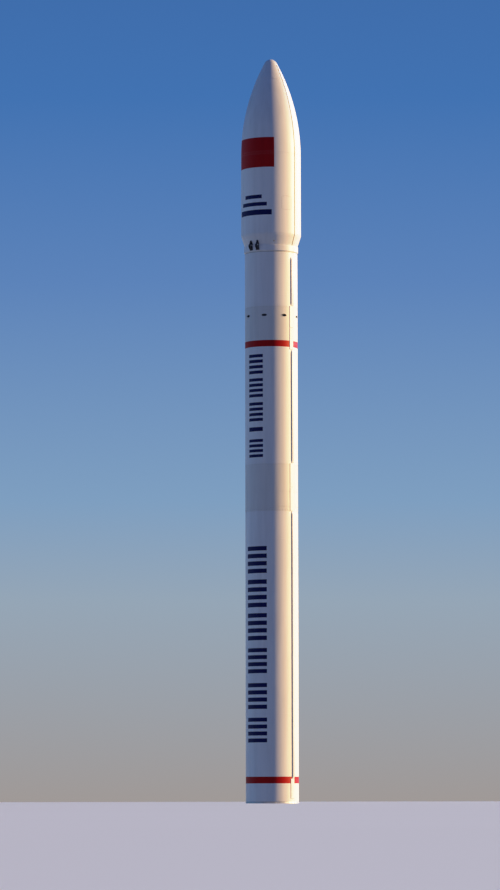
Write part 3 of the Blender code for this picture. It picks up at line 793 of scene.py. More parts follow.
def body_length(node, core=0.0, seams=(True, True), beads=()):
    """A round length of the body in place of a CAD node, hollow out to a core radius."""
    low, high = span(node)
    side = skin_side(body_radius, low, high, SEAM_DEPTH, seams=seams, beads=beads)
    return turned([(core, high)] + side + [(core, low)])


def make_sections():
    """The plain round lengths of the body."""
    for node, colour, core, seams, beads in SECTIONS:
        piece(node + "_skin", body_length(node, core, seams, beads), colour, "vehicle", node)


def make_stage1():
    """First motor case, with its domed aft end and the seat of the nozzle ring."""
    low, high = span("stage1_case")
    band_top = span("red_band_lower")[1]
    dome_outer, dome_inner, recess, seat = 0.660, 0.400, 0.365, low + 0.150
    side = skin_side(body_radius, band_top, high, SEAM_DEPTH, beads=(6.95, 2.35, 1.15))
    dome = []
    for angle in spread(0.0, math.pi / 2, 12)[1:]:
        radius = dome_inner + (dome_outer - dome_inner) * math.cos(angle)
        dome.append((radius, band_top - (band_top - low) * math.sin(angle)))
    profile = [(0.0, high)] + side + [(dome_outer, band_top)] + dome
    profile += [(recess, low), (recess, seat), (0.0, seat)]
    piece("stage1_case_skin", turned(profile), "white", "vehicle", "stage1_case")
    thin = 0.002
    cover = [(x, z - thin) for x, z in dome] + [(x, z + thin) for x, z in reversed(dome)]
    piece("dome_insulation", turned(cover), "insulation", "vehicle")


def port_oval(unit, beyond):
    """A unit circle's points on an oval that stands beyond a port's edge by a distance."""
    return [((PORT_HALF[0] + beyond) * x, (PORT_HALF[1] + beyond) * y) for x, y in unit]


def port_levels(table):
    """Outlines of an oval ring, from a table of (distance beyond the port, out)."""
    unit = circle(1.0, PORT_SIDES)
    return [(port_oval(unit, beyond), out) for beyond, out in table]


def make_ports():
    """Upper interstage with eight oval ports, their screwed rims and dark cups."""
    face, inner = 0.0035, -0.003
    rim = port_levels(((inner, -0.010), (0.016, -0.002), (0.016, 0.002), (0.013, face),
                       (0.001, face), (inner, 0.001)))
    edge, wall, floor = -0.0005, -0.004, -0.0595
    cup = port_levels(((edge, wall), (edge, floor), (wall, floor), (wall, -0.050), (wall, wall)))
    hole = port_levels(((0.0, -0.060), (0.0, 0.020)))
    screws = port_oval(arc(1.0, 22.5, 337.5, 7), 0.0085)
    rims, cups, cutter = Shape(), Shape(), Shape()
    for turn in middles(-90.0, 270.0, 8):
        place = bent(turn, BODY_RADIUS, PORT_HEIGHT)
        cutter.add(stacked(hole).moved(place))
        rims.add(stacked(rim + rim[:1], closed_ends=False).moved(place))
        heads_on(rims, turn, BODY_RADIUS, PORT_HEIGHT, screws, 0.0035, proud=face)
        cups.add(stacked(cup[1:4]).moved(place))
        cups.add(stacked(cup + cup[:1], closed_ends=False).moved(place))
    shell = carved(body_length("interstage_2_3", seams=(False, True)), cutter)
    piece("interstage_2_3_skin", shell, "warm_white", "vehicle", "interstage_2_3")
    piece("port_rims", rims, "warm_white", "vehicle")
    piece("port_cups", cups, "dark", "vehicle")


def make_skirt():
    """End ring with its bolts, and the liner, frames and stringers inside the skirt."""
    low, high = span("base_ring")
    edge, inner = 0.003, 0.620
    profile = [(BODY_RADIUS - edge, high), (BODY_RADIUS, high - edge), (BODY_RADIUS, low + edge),
               (BODY_RADIUS - edge, low), (inner + edge, low), (inner, low + edge),
               (inner, high - edge), (inner + edge, high)]
    ring = turned(profile)
    head_row(ring, BODY_RADIUS, (low + high) / 2, 36, 0.010, rise=0.6)
    piece("base_ring_metal", ring, "aluminium", "vehicle", "base_ring")

    low, high, lining = 0.051, 0.699, SKIRT_INNER - 0.002
    liner = [(SKIRT_INNER, high), (SKIRT_INNER, low), (lining, low), (lining, high)]
    piece("skirt_liner", turned(liner), "primer", "vehicle")

    root, web, lip = SKIRT_INNER + 0.001, 0.668, 0.640
    section = mirrored([(web, 0.010), (lip, 0.010), (lip, 0.014), (root, 0.014)], axis=1)
    hat = mirrored([(0.022, 0.0), (0.022, -0.003), (0.011, -0.003), (0.009, -0.020)])
    frames = Shape()
    for height in (0.075, 0.500):
        frames.add(turned([(radius, height + up) for radius, up in section], MEDIUM_ROUND))
    stringer = stacked([(hat, 0.090), (hat, 0.486)]).moved(stood)
    for turn in middles(0.0, 360.0, 24):
        frames.add(stringer.moved(on_side(turn, root, 0.0)))
    piece("skirt_frames", frames, "primer", "vehicle")


def duct_section(half_width, proud, scale):
    """Outline across a cable duct: thin side flanges, upright walls and a crowned top."""
    wall, corner = half_width - 0.0065, 0.0085
    edge, crown = half_width - 0.0004, proud - 0.0008
    half = [(edge, -0.004), (edge, DUCT_LIP), (wall + 0.0008, DUCT_LIP + 0.0004)]
    half += arc(corner, 0.0, 90.0, 5, (wall - corner, crown - 0.0015 - corner))
    half.append((wall * 0.4, crown))

    def scaled(out):
        return DUCT_LIP + (out - DUCT_LIP) * scale if out > DUCT_LIP + 0.001 else out

    return mirrored([(x, scaled(out)) for x, out in half])


def make_duct(node, side_turn):
    """One cable duct in joined lengths, with sloping ends and screwed flanges."""
    low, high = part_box(node)
    half_width = (high.y - low.y) / 2
    proud = max(high.x, -low.x) - BODY_RADIUS
    bottom, top = low.z + DUCT_SLOPE * proud, high.z - DUCT_SLOPE * proud
    edge, groove = 0.006, ((-1, 1.0), (-1, 0.92), (1, 0.92), (1, 1.0))
    stations = [(low.z, 0.10), (low.z + edge, 0.22), (bottom, 1.0)]
    for joint in spread(bottom, top, max(1, round((top - bottom) / DUCT_LENGTH)))[1:-1]:
        stations += [(joint + way * DUCT_GROOVE, scale) for way, scale in groove]
    stations += [(top, 1.0), (high.z - edge, 0.22), (high.z, 0.10)]
    levels = [(duct_section(half_width, proud, scale), height) for height, scale in stations]
    shape = stacked(levels).moved(stood).moved(bent(side_turn, BODY_RADIUS))
    for height in middles(bottom, top, round((high.z - low.z) / DUCT_STRAP_PITCH)):
        shape.add(duct_strap(half_width, proud, height, side_turn))
    piece(node + "_shell", shape, "duct", "vehicle", node)


def duct_strap(half_width, proud, height, side_turn):
    """A screwed saddle strap over a duct, with a foot on either side."""
    reach, half, thick, under = half_width + 0.016, 0.0125, 0.0016, -0.002
    wall, crown, corner = half_width - 0.005, proud - 0.0006, 0.007
    outer = mirrored([(-reach, 0.0), (-reach, DUCT_LIP), (-wall, 0.003), (-wall, crown - corner),
                      (-wall + corner, crown)])
    inner = [(x * (1 - thick / wall), max(out - thick, under)) for x, out in outer]
    inner[0], inner[-1] = (-reach, under), (reach, under)
    place = bent(side_turn, BODY_RADIUS)
    rings = []
    for top, bottom in zip(outer, inner):
        corners = ((top, -half), (bottom, -half), (bottom, half), (top, half))
        rings.append([place((x, height + up, out)) for (x, out), up in corners])
    strap = lofted(rings)
    feet = ((0.007 - reach, 0.0), (reach - 0.007, 0.0))
    heads_on(strap, side_turn, BODY_RADIUS, height, feet, 0.0042, proud=DUCT_LIP)
    return strap


def make_cover(node, side_turn):
    """One low cover that bridges the joints between two ducts, with sloping edges."""
    low, high = span(node)
    width, proud, gap, margin, screw_reach = 0.1445, 0.0125, 0.002, 0.024, 0.052
    lengths = 1 if high - low < 0.8 else 2
    part = (high - low) / lengths - gap
    plate = sliced(slab(rounded(width, part, 0.012), -0.004, proud, 0.010))
    ups = spread(margin - part / 2, part / 2 - margin, max(2, round(part / 0.130)) - 1)
    screws = [(across, up) for up in ups for across in (-screw_reach, screw_reach)]
    shape = Shape()
    for centre in middles(low, high, lengths):
        shape.add(plate.moved(bent(side_turn, BODY_RADIUS, centre)))
        heads_on(shape, side_turn, BODY_RADIUS, centre, screws, 0.0042, 0.3, proud)
    piece(node + "_plate", shape, "duct", "vehicle", node)


def make_ducts():
    """Ducts and covers up both sides. The covers are turned towards -Y, as in the CAD."""
    for side, sign in (("right", 1), ("left", -1)):
        for name in ("duct_stage1", "duct_stage2", "duct_stage3"):
            make_duct(f"{name}_{side}", sign * 90.0)
        for name in ("cover_base", "cover_1_2", "cover_2_3"):
            make_cover(f"{name}_{side}", sign * (90.0 - COVER_TURN))


def make_body_fasteners():
    """Rows of fastener heads beside the body's seams, away from the ducts."""
    painted, bare = Shape(), Shape()
    for count, size, heights in FASTENER_ROWS:
        for height in heights:
            head_row(painted, BODY_RADIUS, height, count, size, avoid=DUCT_TURNS)
    for height, size, first in JOINT_BOLT_ROWS:
        head_row(bare, BODY_RADIUS, height, 60, size, first, avoid=DUCT_TURNS)
    piece("body_fasteners", painted, "white", "vehicle")
    piece("joint_ring_bolts", bare, "steel", "vehicle")


def ogive_side():
    """Radius of the nose's side arc, and the angle where it meets the round tip."""
    length = TIP_HEIGHT - NOSE_BOTTOM - TIP_RADIUS
    side = (length**2 + FAIRING_RADIUS**2 - TIP_RADIUS**2) / (2 * (FAIRING_RADIUS - TIP_RADIUS))
    return side, math.degrees(math.atan2(length, side - FAIRING_RADIUS))


def fairing_radius(height):
    """Outer radius of the fairing at a height below the round tip."""
    if height < BOAT_TAIL_TOP:
        share = (height - BOAT_TAIL_BOTTOM) / (BOAT_TAIL_TOP - BOAT_TAIL_BOTTOM)
        return BODY_RADIUS + (FAIRING_RADIUS - BODY_RADIUS) * share
    if height < NOSE_BOTTOM:
        return FAIRING_RADIUS
    side = ogive_side()[0]
    return FAIRING_RADIUS - side + math.sqrt(side**2 - (height - NOSE_BOTTOM) ** 2)


def inner_side(low, high, steps):
    """The inner side of a fairing length, upwards."""
    return [(fairing_radius(height) - FAIRING_WALL, height) for height in spread(low, high, steps)]


def fairing_wall(low, high, steps):
    """Profiles of one fairing length: its outer side down, its inner side up."""
    outer = skin_side(fairing_radius, low, high, FAIRING_SEAM_DEPTH, steps)
    return outer, inner_side(low, high, steps)


def cap_wall():
    """Profiles of the cap: from the tip down its outer side, and up its inner side."""
    meet, steps = ogive_side()[1], 14
    centre = (0.0, TIP_HEIGHT - TIP_RADIUS)
    meet_height = centre[1] + TIP_RADIUS * math.sin(math.radians(meet))
    heights = spread(meet_height, CAP_BOTTOM + SEAM_END, steps)[1:]
    outer = [(0.0, TIP_HEIGHT)] + arc(TIP_RADIUS, 90.0, meet, 12, centre)[1:]
    outer += [(fairing_radius(height), height) for height in heights]
    outer += reversed(seam_step(fairing_radius, CAP_BOTTOM, 1, FAIRING_SEAM_DEPTH))
    inner = inner_side(CAP_BOTTOM, meet_height, steps)
    inner += arc(TIP_RADIUS - FAIRING_WALL, meet, 90.0, 10, centre)[1:-1]
    return outer, inner + [(0.0, TIP_HEIGHT - FAIRING_WALL)]


def half_row(radius, height, side_turn, channel):
    """One level row of a half shell, from split to split, with its channel sunk by a depth.

    The limits keep the channel from taking up the whole row where the tip gets narrow.
    """
    steps = ROUND // 2
    if radius < 1e-9:
        return [rotated(side_turn) @ Vector((0.0, -SPLIT_GAP, height))] * (steps + 5)
    depth = min(channel, 0.3 * radius)
    sunk = radius - depth
    edge = math.pi / 2 - math.asin(min(SPLIT_GAP / sunk, 0.02))
    floor_end = math.pi / 2 - math.asin(min(CHANNEL_WIDTH / sunk, 0.30))
    rim = math.pi / 2 - math.asin(min((CHANNEL_WIDTH + 0.2 * depth) / radius, 0.32))
    columns = [(-edge, sunk), (-floor_end, sunk)]
    columns += [(share * rim, radius) for share in spread(-1.0, 1.0, steps)]
    columns += [(floor_end, sunk), (edge, sunk)]
    return [polar(reach, angle + math.radians(side_turn), height) for angle, reach in columns]


def half_shell(wall, side_turn):
    """Half a turn of a fairing length, with a shallow channel along its split edges."""
    outer, inner = wall
    rows = [half_row(*point, side_turn, CHANNEL_DEPTH) for point in outer]
    rows += [half_row(*point, side_turn, 0.0) for point in inner]
    shape, numbers = stitched(rows, wraps=False)
    count = len(outer)
    for end in (0, -1):
        edge = [row[end] for row in numbers]
        front, back = edge[:count], edge[:count - 1:-1]
        steps = max(len(front), len(back))
        front += front[-1:] * (steps - len(front))
        back += back[-1:] * (steps - len(back))
        for index in range(steps - 1):
            corners = (front[index], front[index + 1], back[index + 1], back[index])
            shape.face(*(corners if end == 0 else reversed(corners)))
    return shape


def split_sealant(side_turn):
    """Strips of sealant in the channel of a half, on both of its split edges."""
    # depth, distance from the split
    section = ((0.0006, 0.0016), (0.0006, 0.0150), (0.0045, 0.0150), (0.0045, 0.0010))
    heights = [BOAT_TAIL_BOTTOM + 0.006, BOAT_TAIL_TOP]
    heights += spread(NOSE_BOTTOM, TIP_HEIGHT - TIP_RADIUS, 34)
    strips = Shape()
    for edge in (-1, 1):
        rings = []
        for height in heights:
            ring = []
            for depth, away in section:
                reach = fairing_radius(height) - depth
                angle = edge * (math.pi / 2 - math.asin(away / reach))
                ring.append(polar(reach, math.radians(side_turn) + angle, height))
            rings.append(ring)
        strips.add(lofted(rings))
    return strips


def split_strip(side_turn):
    """Backing strip behind a half's split edges, so that the groove has a floor."""
    lengths = (
        # bottom, top, rows
        (BOAT_TAIL_BOTTOM + 0.01, BOAT_TAIL_TOP, 2),
        (BOAT_TAIL_TOP, NOSE_BOTTOM, 2),
        (NOSE_BOTTOM, CAP_BOTTOM, 16),
    )
    strip = Shape()
    for edge in (-90.0, 90.0):
        turns = sorted((side_turn + edge, side_turn + edge * 0.945))
        for low, high, rows in lengths:
            depths = (-0.042, -0.0245)
            strip.add(curved_block(fairing_radius, turns, (low, high), depths, 4, rows))
    return strip


def make_fairing_half(half, side_turn):
    """One half of the fairing: its four lengths, its sealant and its rows of fasteners."""
    body = "fairing_" + half
    walls = {
        "boat_tail": fairing_wall(BOAT_TAIL_BOTTOM, BOAT_TAIL_TOP, 4),
        "panel": fairing_wall(BOAT_TAIL_TOP, NOSE_BOTTOM, 4),
        "nose": fairing_wall(NOSE_BOTTOM, CAP_BOTTOM, 28),
        "cap": cap_wall(),
    }
    for length, wall in walls.items():
        node = f"{body}_{length}"
        shape = half_shell(wall, side_turn)
        if node == "fairing_front_panel":
            shape = carved(shape, door_plate(0.0, -0.060, 0.040))
        if length == "boat_tail":
            shape = carved(shape, vent_plug(side_turn))
        piece(node + "_shell", shape, "fairing", body, node)
    piece(body + "_split_sealant", split_sealant(side_turn), "sealant", body)

    heads, size = Shape(), FAIRING_HEAD_SIZE
    for height in FAIRING_HEAD_HEIGHTS:
        head_row(heads, fairing_radius(height), height, 36, size, side_turn - 90.0, 180.0)
    for edge in (-1, 1):
        turn, spots = side_turn + edge * 90.0, ((-edge * SPLIT_HEAD_AWAY, 0.0),)
        for height in spread(*SPLIT_HEADS):
            heads_on(heads, turn, fairing_radius(height), height, spots, size, 0.20)
    piece(body + "_fasteners", heads, "fairing", body)


def make_lining(half, side_turn):
    """Ring frames and edge rails inside a half, with blankets between them."""
    body = "fairing_" + half
    frames = split_strip(side_turn)
    turns = (side_turn - FRAME_END, side_turn + FRAME_END)
    for height in FRAME_HEIGHTS:
        heights = (height - FRAME_HALF, height + FRAME_HALF)
        frames.add(curved_block(fairing_radius, turns, heights, (-0.046, -0.0245), 48))
    piece(body + "_frames", frames, "aluminium", body)

    blankets, side_gap, level_gap = Shape(), 0.7, 0.008
    edges = spread(side_turn - BLANKET_END, side_turn + BLANKET_END, 6)
    depths = (0.001 - FAIRING_WALL, puffed)
    for low, high in BLANKET_BAYS:
        middle = (low + high) / 2
        for first, last in zip(edges, edges[1:]):
            turns = (first + side_gap, last - side_gap)
            for heights in ((low, middle - level_gap), (middle + level_gap, high)):
                blankets.add(curved_block(fairing_radius, turns, heights, depths, 8, 10))
    if half == "front":
        blankets = carved(blankets, door_plate(0.030, -0.060, 0.0))
    piece(body + "_blankets", blankets, "quilt", body, crease=SOFT_CREASE)


def puffed(across, up):
    """Depth of a blanket's soft face: thin at its sewn edges, thick in its middle."""
    across, up = (2 * min(share, 1 - share) for share in (across, up))
    puff = (1 - (1 - across) ** 3) * (1 - (1 - up) ** 4)
    return -FAIRING_WALL - BLANKET_THIN - (BLANKET_THICK - BLANKET_THIN) * puff


def door_plate(gap, low, high, chamfer=0.0):
    """The access door's outline, made smaller by a gap, bent to the fairing."""
    width, height = (size - 2 * gap for size in DOOR_SIZE)
    outline = rounded(width, height, DOOR_CORNER - gap, 8)
    plate = sliced(slab(outline, low, high, chamfer), 0.015)
    return plate.moved(bent(DOOR_TURN, FAIRING_RADIUS, DOOR_HEIGHT))


def make_access_door():
    """Flush door in the front half, held by screws around its edge."""
    door = door_plate(0.0022, -0.0240, 0.0, 0.0012)
    across, up = (size / 2 - 0.018 for size in DOOR_SIZE)
    shares, clear = (-1.0, -0.5, 0.0, 0.5, 1.0), 0.045
    screws = [(share * (across - clear), side * up) for share in shares for side in (-1, 1)]
    screws += [(side * across, share * (up - clear)) for share in shares for side in (-1, 1)]
    heads_on(door, DOOR_TURN, FAIRING_RADIUS, DOOR_HEIGHT, screws, 0.0045)
    piece("access_door_plate", door, "fairing", "fairing_front", "fairing_access_door")
    gasket = carved(door_plate(0.0004, -0.0235, -0.0035), door_plate(0.0024, -0.040, 0.020))
    piece("access_door_gasket", gasket, "rubber", "fairing_front")


def vent_plug(side_turn):
    """Round cutter for the vent."""
    plug = slab(circle(VENT_RADIUS + 0.0035, SMALL_ROUND), -0.060, 0.020)
    return plug.moved(on_slope(side_turn + VENT_TURN, VENT_HEIGHT))


def make_vent(half, side_turn):
    """Vent in the boat tail: a flanged bush with slats."""
    bore, neck, rim = VENT_RADIUS, VENT_RADIUS + 0.0032, VENT_RADIUS + 0.0085
    bush = turned(
        [(rim, 0.0006), (rim, 0.0018), (rim - 0.0012, 0.0028), (bore + 0.0016, 0.0028),
         (bore, 0.0010), (bore, -0.0240), (neck, -0.0240), (neck, 0.0006)],
        SMALL_ROUND,
    )
    for up in middles(-0.84 * bore, 0.84 * bore, 4):
        reach = math.sqrt((bore + 0.0004) ** 2 - (abs(up) + 0.0016) ** 2)
        slat = mirrored([(reach, up - 0.0016), (reach, up + 0.0008)])
        bush.add(slab(slat, -0.0140, -0.0050, 0.0003))
    bush = bush.moved(on_slope(side_turn + VENT_TURN, VENT_HEIGHT))
    piece(f"fairing_{half}_vent", bush, "steel", "fairing_" + half)


def make_fairing_ring():
    """Ring and deck under the fairing, with its shadow groove, a darker seal in the groove that
    paints the groove's shade, and a row of bolts.
    """
    low = span("fairing_ring")[0]
    top = BOAT_TAIL_BOTTOM - 0.0006
    ring = turned(
        [(0.0, top), (RING_RADIUS - 0.006, top), (RING_RADIUS - 0.002, top - 0.001),
         (RING_RADIUS, top - 0.004), (RING_RADIUS, low + 0.040), (RING_RADIUS - 0.002, low + 0.037),
         (RING_NECK, low + 0.024), (RING_NECK, low), (0.0, low)]
    )
    away = math.degrees(HINGE_OFFSETS[1] / RING_RADIUS)
    hinges = [(side + sign * away, 5.0) for _, side in HALVES for sign in (-1, 1)]
    for height in (low + 0.075, top - 0.035):
        head_row(ring, RING_RADIUS, height, 72, 0.0050, avoid=hinges)
    piece("fairing_ring_skin", ring, "fairing", "vehicle", "fairing_ring")
    # Seal ring in the neck groove, darker than the paint: painted shade of the groove
    seal = ((-0.004, 0.016), (0.001, 0.016), (0.003, 0.014), (0.003, 0.007), (0.001, 0.005),
            (-0.004, 0.005))
    seal = turned([(RING_NECK + out, low + up) for out, up in seal])
    piece("fairing_ring_seal", seal, "ring_seal_shade", "vehicle")


def hinge_place(side_turn, offset):
    """Stand a plate at one hinge: its X points inward, its Y up, its Z along the pin."""
    axes = Matrix(((0, 0, 1, 0), (1, 0, 0, 0), (0, 1, 0, 0), (0, 0, 0, 1)))
    at_pin = Matrix.Translation((offset, -HINGE_RADIUS, BOAT_TAIL_BOTTOM))
    return rotated(side_turn) @ at_pin @ axes


def hinge_depth(radius):
    """How far inward of the pins a round wall stands at a hinge."""
    return HINGE_RADIUS - math.sqrt(radius**2 - HINGE_OFFSETS[1] ** 2)


def hinge_plates():
    """Cheek of a hinge's foot and its lug, flat, about the pin."""
    reach = hinge_depth(RING_RADIUS - 0.012)
    cheek = arc(0.025, 0.0, 180.0, 12)
    cheek += [(-0.025, -0.045), (reach - 0.024, -0.139), (reach, -0.139), (reach, -0.010)]
    low, high = 0.006, 0.130
    foot, top = (hinge_depth(fairing_radius(BOAT_TAIL_BOTTOM + up) - 0.010) for up in (low, high))
    lug = arc(0.026, 140.0, 340.0, 14)
    lug += [(0.038, low), (foot, low), (top, high), (top - 0.024, high - 0.004)]
    plates = ((cheek, 0.0090), (lug, 0.0148))
    return [slab(outline, -half, half, 0.0015, both=True) for outline, half in plates]


def make_hinges(half, side_turn):
    """A half's two hinges: forked feet on the ring, lugs on the boat tail, and their pins."""
    cheek, lug = hinge_plates()
    foot_proud = 0.0075
    foot = sliced(slab(rounded(0.082, 0.118, 0.010, foot=0.112), -0.004, foot_proud, 0.0015))
    bolts = ((-0.044, -0.046), (0.044, -0.046), (-0.040, -0.012), (0.040, -0.012), (0.0, -0.046))
    pin = turned(
        [(0.0, 0.041), (0.0085, 0.041), (0.0105, 0.039), (0.0180, 0.0385), (0.0195, 0.0370),
         (0.0195, 0.0362), (0.0118, 0.0362), (0.0118, -0.0362), (0.0185, -0.0362),
         (0.0185, -0.0385), (0.0, -0.0390)],
        SMALL_ROUND,
    )
    feet, lugs, pins = Shape(), Shape(), Shape()
    for offset in HINGE_OFFSETS:
        turn = side_turn + math.degrees(math.asin(offset / HINGE_RADIUS))
        for shift in (-0.027, 0.027):
            feet.add(cheek.moved(hinge_place(side_turn, offset + shift)))
        feet.add(foot.moved(bent(turn, RING_RADIUS, HINGE_FOOT_HEIGHT)))
        heads_on(feet, turn, RING_RADIUS, HINGE_FOOT_HEIGHT, bolts, 0.0055, 0.7, foot_proud)
        place = hinge_place(side_turn, offset)
        lugs.add(lug.moved(place)).add(lug_strap(turn))
        pins.add(pin.moved(place))
    piece("hinge_feet_" + half, feet, "dark", "vehicle")
    piece("hinge_lugs_" + half, lugs, "dark", "fairing_" + half)
    piece("hinge_pins_" + half, pins, "steel", "vehicle")


def lug_strap(turn):
    """Tapered strap that bolts a lug to the boat tail's slope."""
    proud = 0.006
    strap = slab(rounded(0.050, 0.118, 0.008, foot=0.078), -0.006, proud, 0.0015)
    for across, up in ((0.028, -0.042), (0.020, 0.0), (0.017, 0.045)):
        for side in (-across, across):
            strap.add(head(Matrix.Translation((side, up, proud)), 0.0042, 0.7))
    return strap.moved(on_slope(turn, LUG_STRAP_HEIGHT))


def make_load_space():
    """Upper stage, adapter cone and load ring inside the fairing."""
    low, high = span("upper_stage")
    radius, groove = 0.500, 0.010
    profile = [(0.0, high), (0.300, high), (radius - 0.034, high - 0.002)]
    profile += [(radius - 0.012, high - 0.012), (radius - 0.004, high - 0.030)]
    for height in (15.160, 15.020, 14.880):
        hoop = ((groove, 0.022), (0.0, 0.014), (0.0, -0.014), (groove, -0.022))
        profile += [(radius - depth, height + up) for depth, up in hoop]
    profile += [(radius - 0.004, low + 0.020), (radius, low + 0.020), (radius, low), (0.0, low)]
    piece("upper_stage_skin", turned(profile, MEDIUM_ROUND), "gold", "vehicle", "upper_stage")

    low, high = span("payload_adapter")
    foot, neck, wall = 0.470, 0.310, 0.016
    cone = turned(
        [(neck - wall, high), (neck, high), (neck, high - 0.014), (neck + 0.006, high - 0.018),
         (foot - 0.006, low + 0.034), (foot, low + 0.030), (foot, low), (foot - 0.020, low),
         (neck - wall, high - 0.02)],
        MEDIUM_ROUND,
    )
    lean = rotated(-math.degrees(math.atan2(foot - neck, high - low)), "X")
    hole = slab([(x, y * 1.3) for x, y in circle(0.060, SMALL_ROUND)], -0.080, 0.060).moved(lean)
    holes = Shape()
    for turn in middles(0.0, 360.0, 12):
        holes.add(hole.moved(on_side(turn, (foot + neck) / 2, (low + high) / 2)))
    cone = carved(cone, holes)
    head_row(cone, foot, low + 0.015, 36, 0.0060, first=-5.0, rise=0.7)
    piece("payload_adapter_cone", cone, "dark", "vehicle", "payload_adapter")

    low, high = span("payload_ring")
    outer, inner, step = 0.310, 0.255, 0.302
    ring = turned(
        [(outer - 0.002, high), (outer, high - 0.002), (outer, high - 0.014), (step, high - 0.020),
         (step, low + 0.014), (outer, low + 0.010), (outer, low), (inner, low), (inner, high)],
        MEDIUM_ROUND,
    )
    head_row(ring, step, (low + high) / 2, 24, 0.0060, rise=0.7)
    piece("payload_ring_metal", ring, "aluminium", "vehicle", "payload_ring")


def ball_point(radius, from_top):
    """A point of a ball about the nozzle's pivot, by its angle from straight up."""
    angle = math.radians(from_top)
    return (radius * math.sin(angle), PIVOT_HEIGHT + radius * math.cos(angle))


def ball_side(radius, first, last, steps):
    """Points down a ball about the nozzle's pivot."""
    return [ball_point(radius, angle) for angle in spread(first, last, steps)]


def bell(share, wall=0.0):
    """Radius and height of the bell, from throat (0) to exit (1)."""
    radius = THROAT_RADIUS + (EXIT_RADIUS - THROAT_RADIUS) * (1.3 * share - 0.3 * share**2)
    return (radius + wall, THROAT_HEIGHT + (EXIT_HEIGHT - THROAT_HEIGHT) * share)


def make_boss_and_seal():
    """Metal ring in the aft dome, its bolts, and the layered seal inside it."""
    seal_inner = HEAD_RADIUS + SEAL_GAP
    seal_outer = seal_inner + SEAL_THICKNESS
    seat = seal_outer + SEAL_GAP
    low, high = span("nozzle_boss")
    top, bottom = SEAL_ANGLES
    last = math.degrees(math.acos((low - PIVOT_HEIGHT) / seat))
    profile = [(BOSS_OUTER, high), (BOSS_OUTER, low + 0.002), (BOSS_OUTER - 0.002, low)]
    profile += reversed(ball_side(seat, top, last, 16))
    boss = turned(profile + [(ball_point(seat, top)[0], high)], MEDIUM_ROUND)
    for index in range(30):
        under = Matrix.Translation(polar(BOSS_BOLTS, math.radians(index * 12.0), low))
        boss.add(head(under @ rotated(180.0, "X"), 0.0080, 0.8))
    piece("nozzle_boss_metal", boss, "steel", "vehicle", "nozzle_boss")

    profile = []
    for start, way, first, last in ((seal_outer, -1, top, bottom), (seal_inner, 1, bottom, top)):
        profile += ball_side(start, first, last, 14)
        dip = last + (first - last) * 0.03
        for index in range(SEAL_LAYERS):
            for share, angle in ((0.1, last), (0.5, dip), (0.9, last)):
                across = SEAL_THICKNESS * (index + share) / SEAL_LAYERS
                profile.append(ball_point(start + way * across, angle))
    seal = turned(profile, MEDIUM_ROUND)
    piece("flexible_seal_layers", seal, "rubber", "seal", "flexible_seal")


def make_nozzle():
    """Nozzle: ball head with throat and flange, and exit cone with stiffening rings."""
    ball = ball_side(HEAD_RADIUS, 46.0, 73.0, 18)
    radius, split = bell(FLANGE_SHARE, NOZZLE_WALL)
    reach, above, below = radius + FLANGE_REACH, split + FLANGE_THICKNESS, split - FLANGE_THICKNESS
    profile = ball + [NECK_TOP, NECK_BOTTOM, (radius, above), (reach, above)]
    profile.append((reach, split + FLANGE_GAP))
    profile += [bell(share) for share in spread(FLANGE_SHARE, 0.0, 8)]
    profile += [(THROAT_RADIUS + 0.002, THROAT_HEIGHT + 0.020), (THROAT_RADIUS + 0.012, 0.600)]
    shape = turned(profile + [(INLET_RADIUS, ball[0][1])], MEDIUM_ROUND)
    for turn in middles(0.0, 360.0, 24):
        shape.add(head(beside(turn, radius + FLANGE_REACH / 2, above), 0.0065, 0.8))
    piece("nozzle_head_body", shape, "carbon", "nozzle", "nozzle_head")

    shares = spread(FLANGE_SHARE, 1.0, 24)
    stiffeners = ((0.46, 0.007), (0.68, 0.007), (0.88, 0.006))
    profile = [(reach, split - FLANGE_GAP), (reach, below)]
    for share in shares:
        at = bell(share, NOZZLE_WALL)
        if at[1] < below:
            profile.append(at)
        for place, rise in stiffeners:
            if share <= place < share + shares[1] - shares[0]:
                for shift, up in ((-0.008, 0.0), (-0.006, rise), (0.006, rise), (0.008, 0.0)):
                    wall, height = bell(place + shift, NOZZLE_WALL)
                    profile.append((wall + up, height))
    profile += [bell(share) for share in reversed(shares[1:])]
    cone = turned(profile + [(bell(FLANGE_SHARE)[0], split - FLANGE_GAP)], MEDIUM_ROUND)
    piece("nozzle_exit_cone_wall", cone, "carbon", "nozzle", "nozzle_exit_cone")


def neck_radius(height):
    """Outer radius of the nozzle's neck at a height."""
    share = (height - NECK_BOTTOM[1]) / (NECK_TOP[1] - NECK_BOTTOM[1])
    return NECK_BOTTOM[0] + (NECK_TOP[0] - NECK_BOTTOM[0]) * share


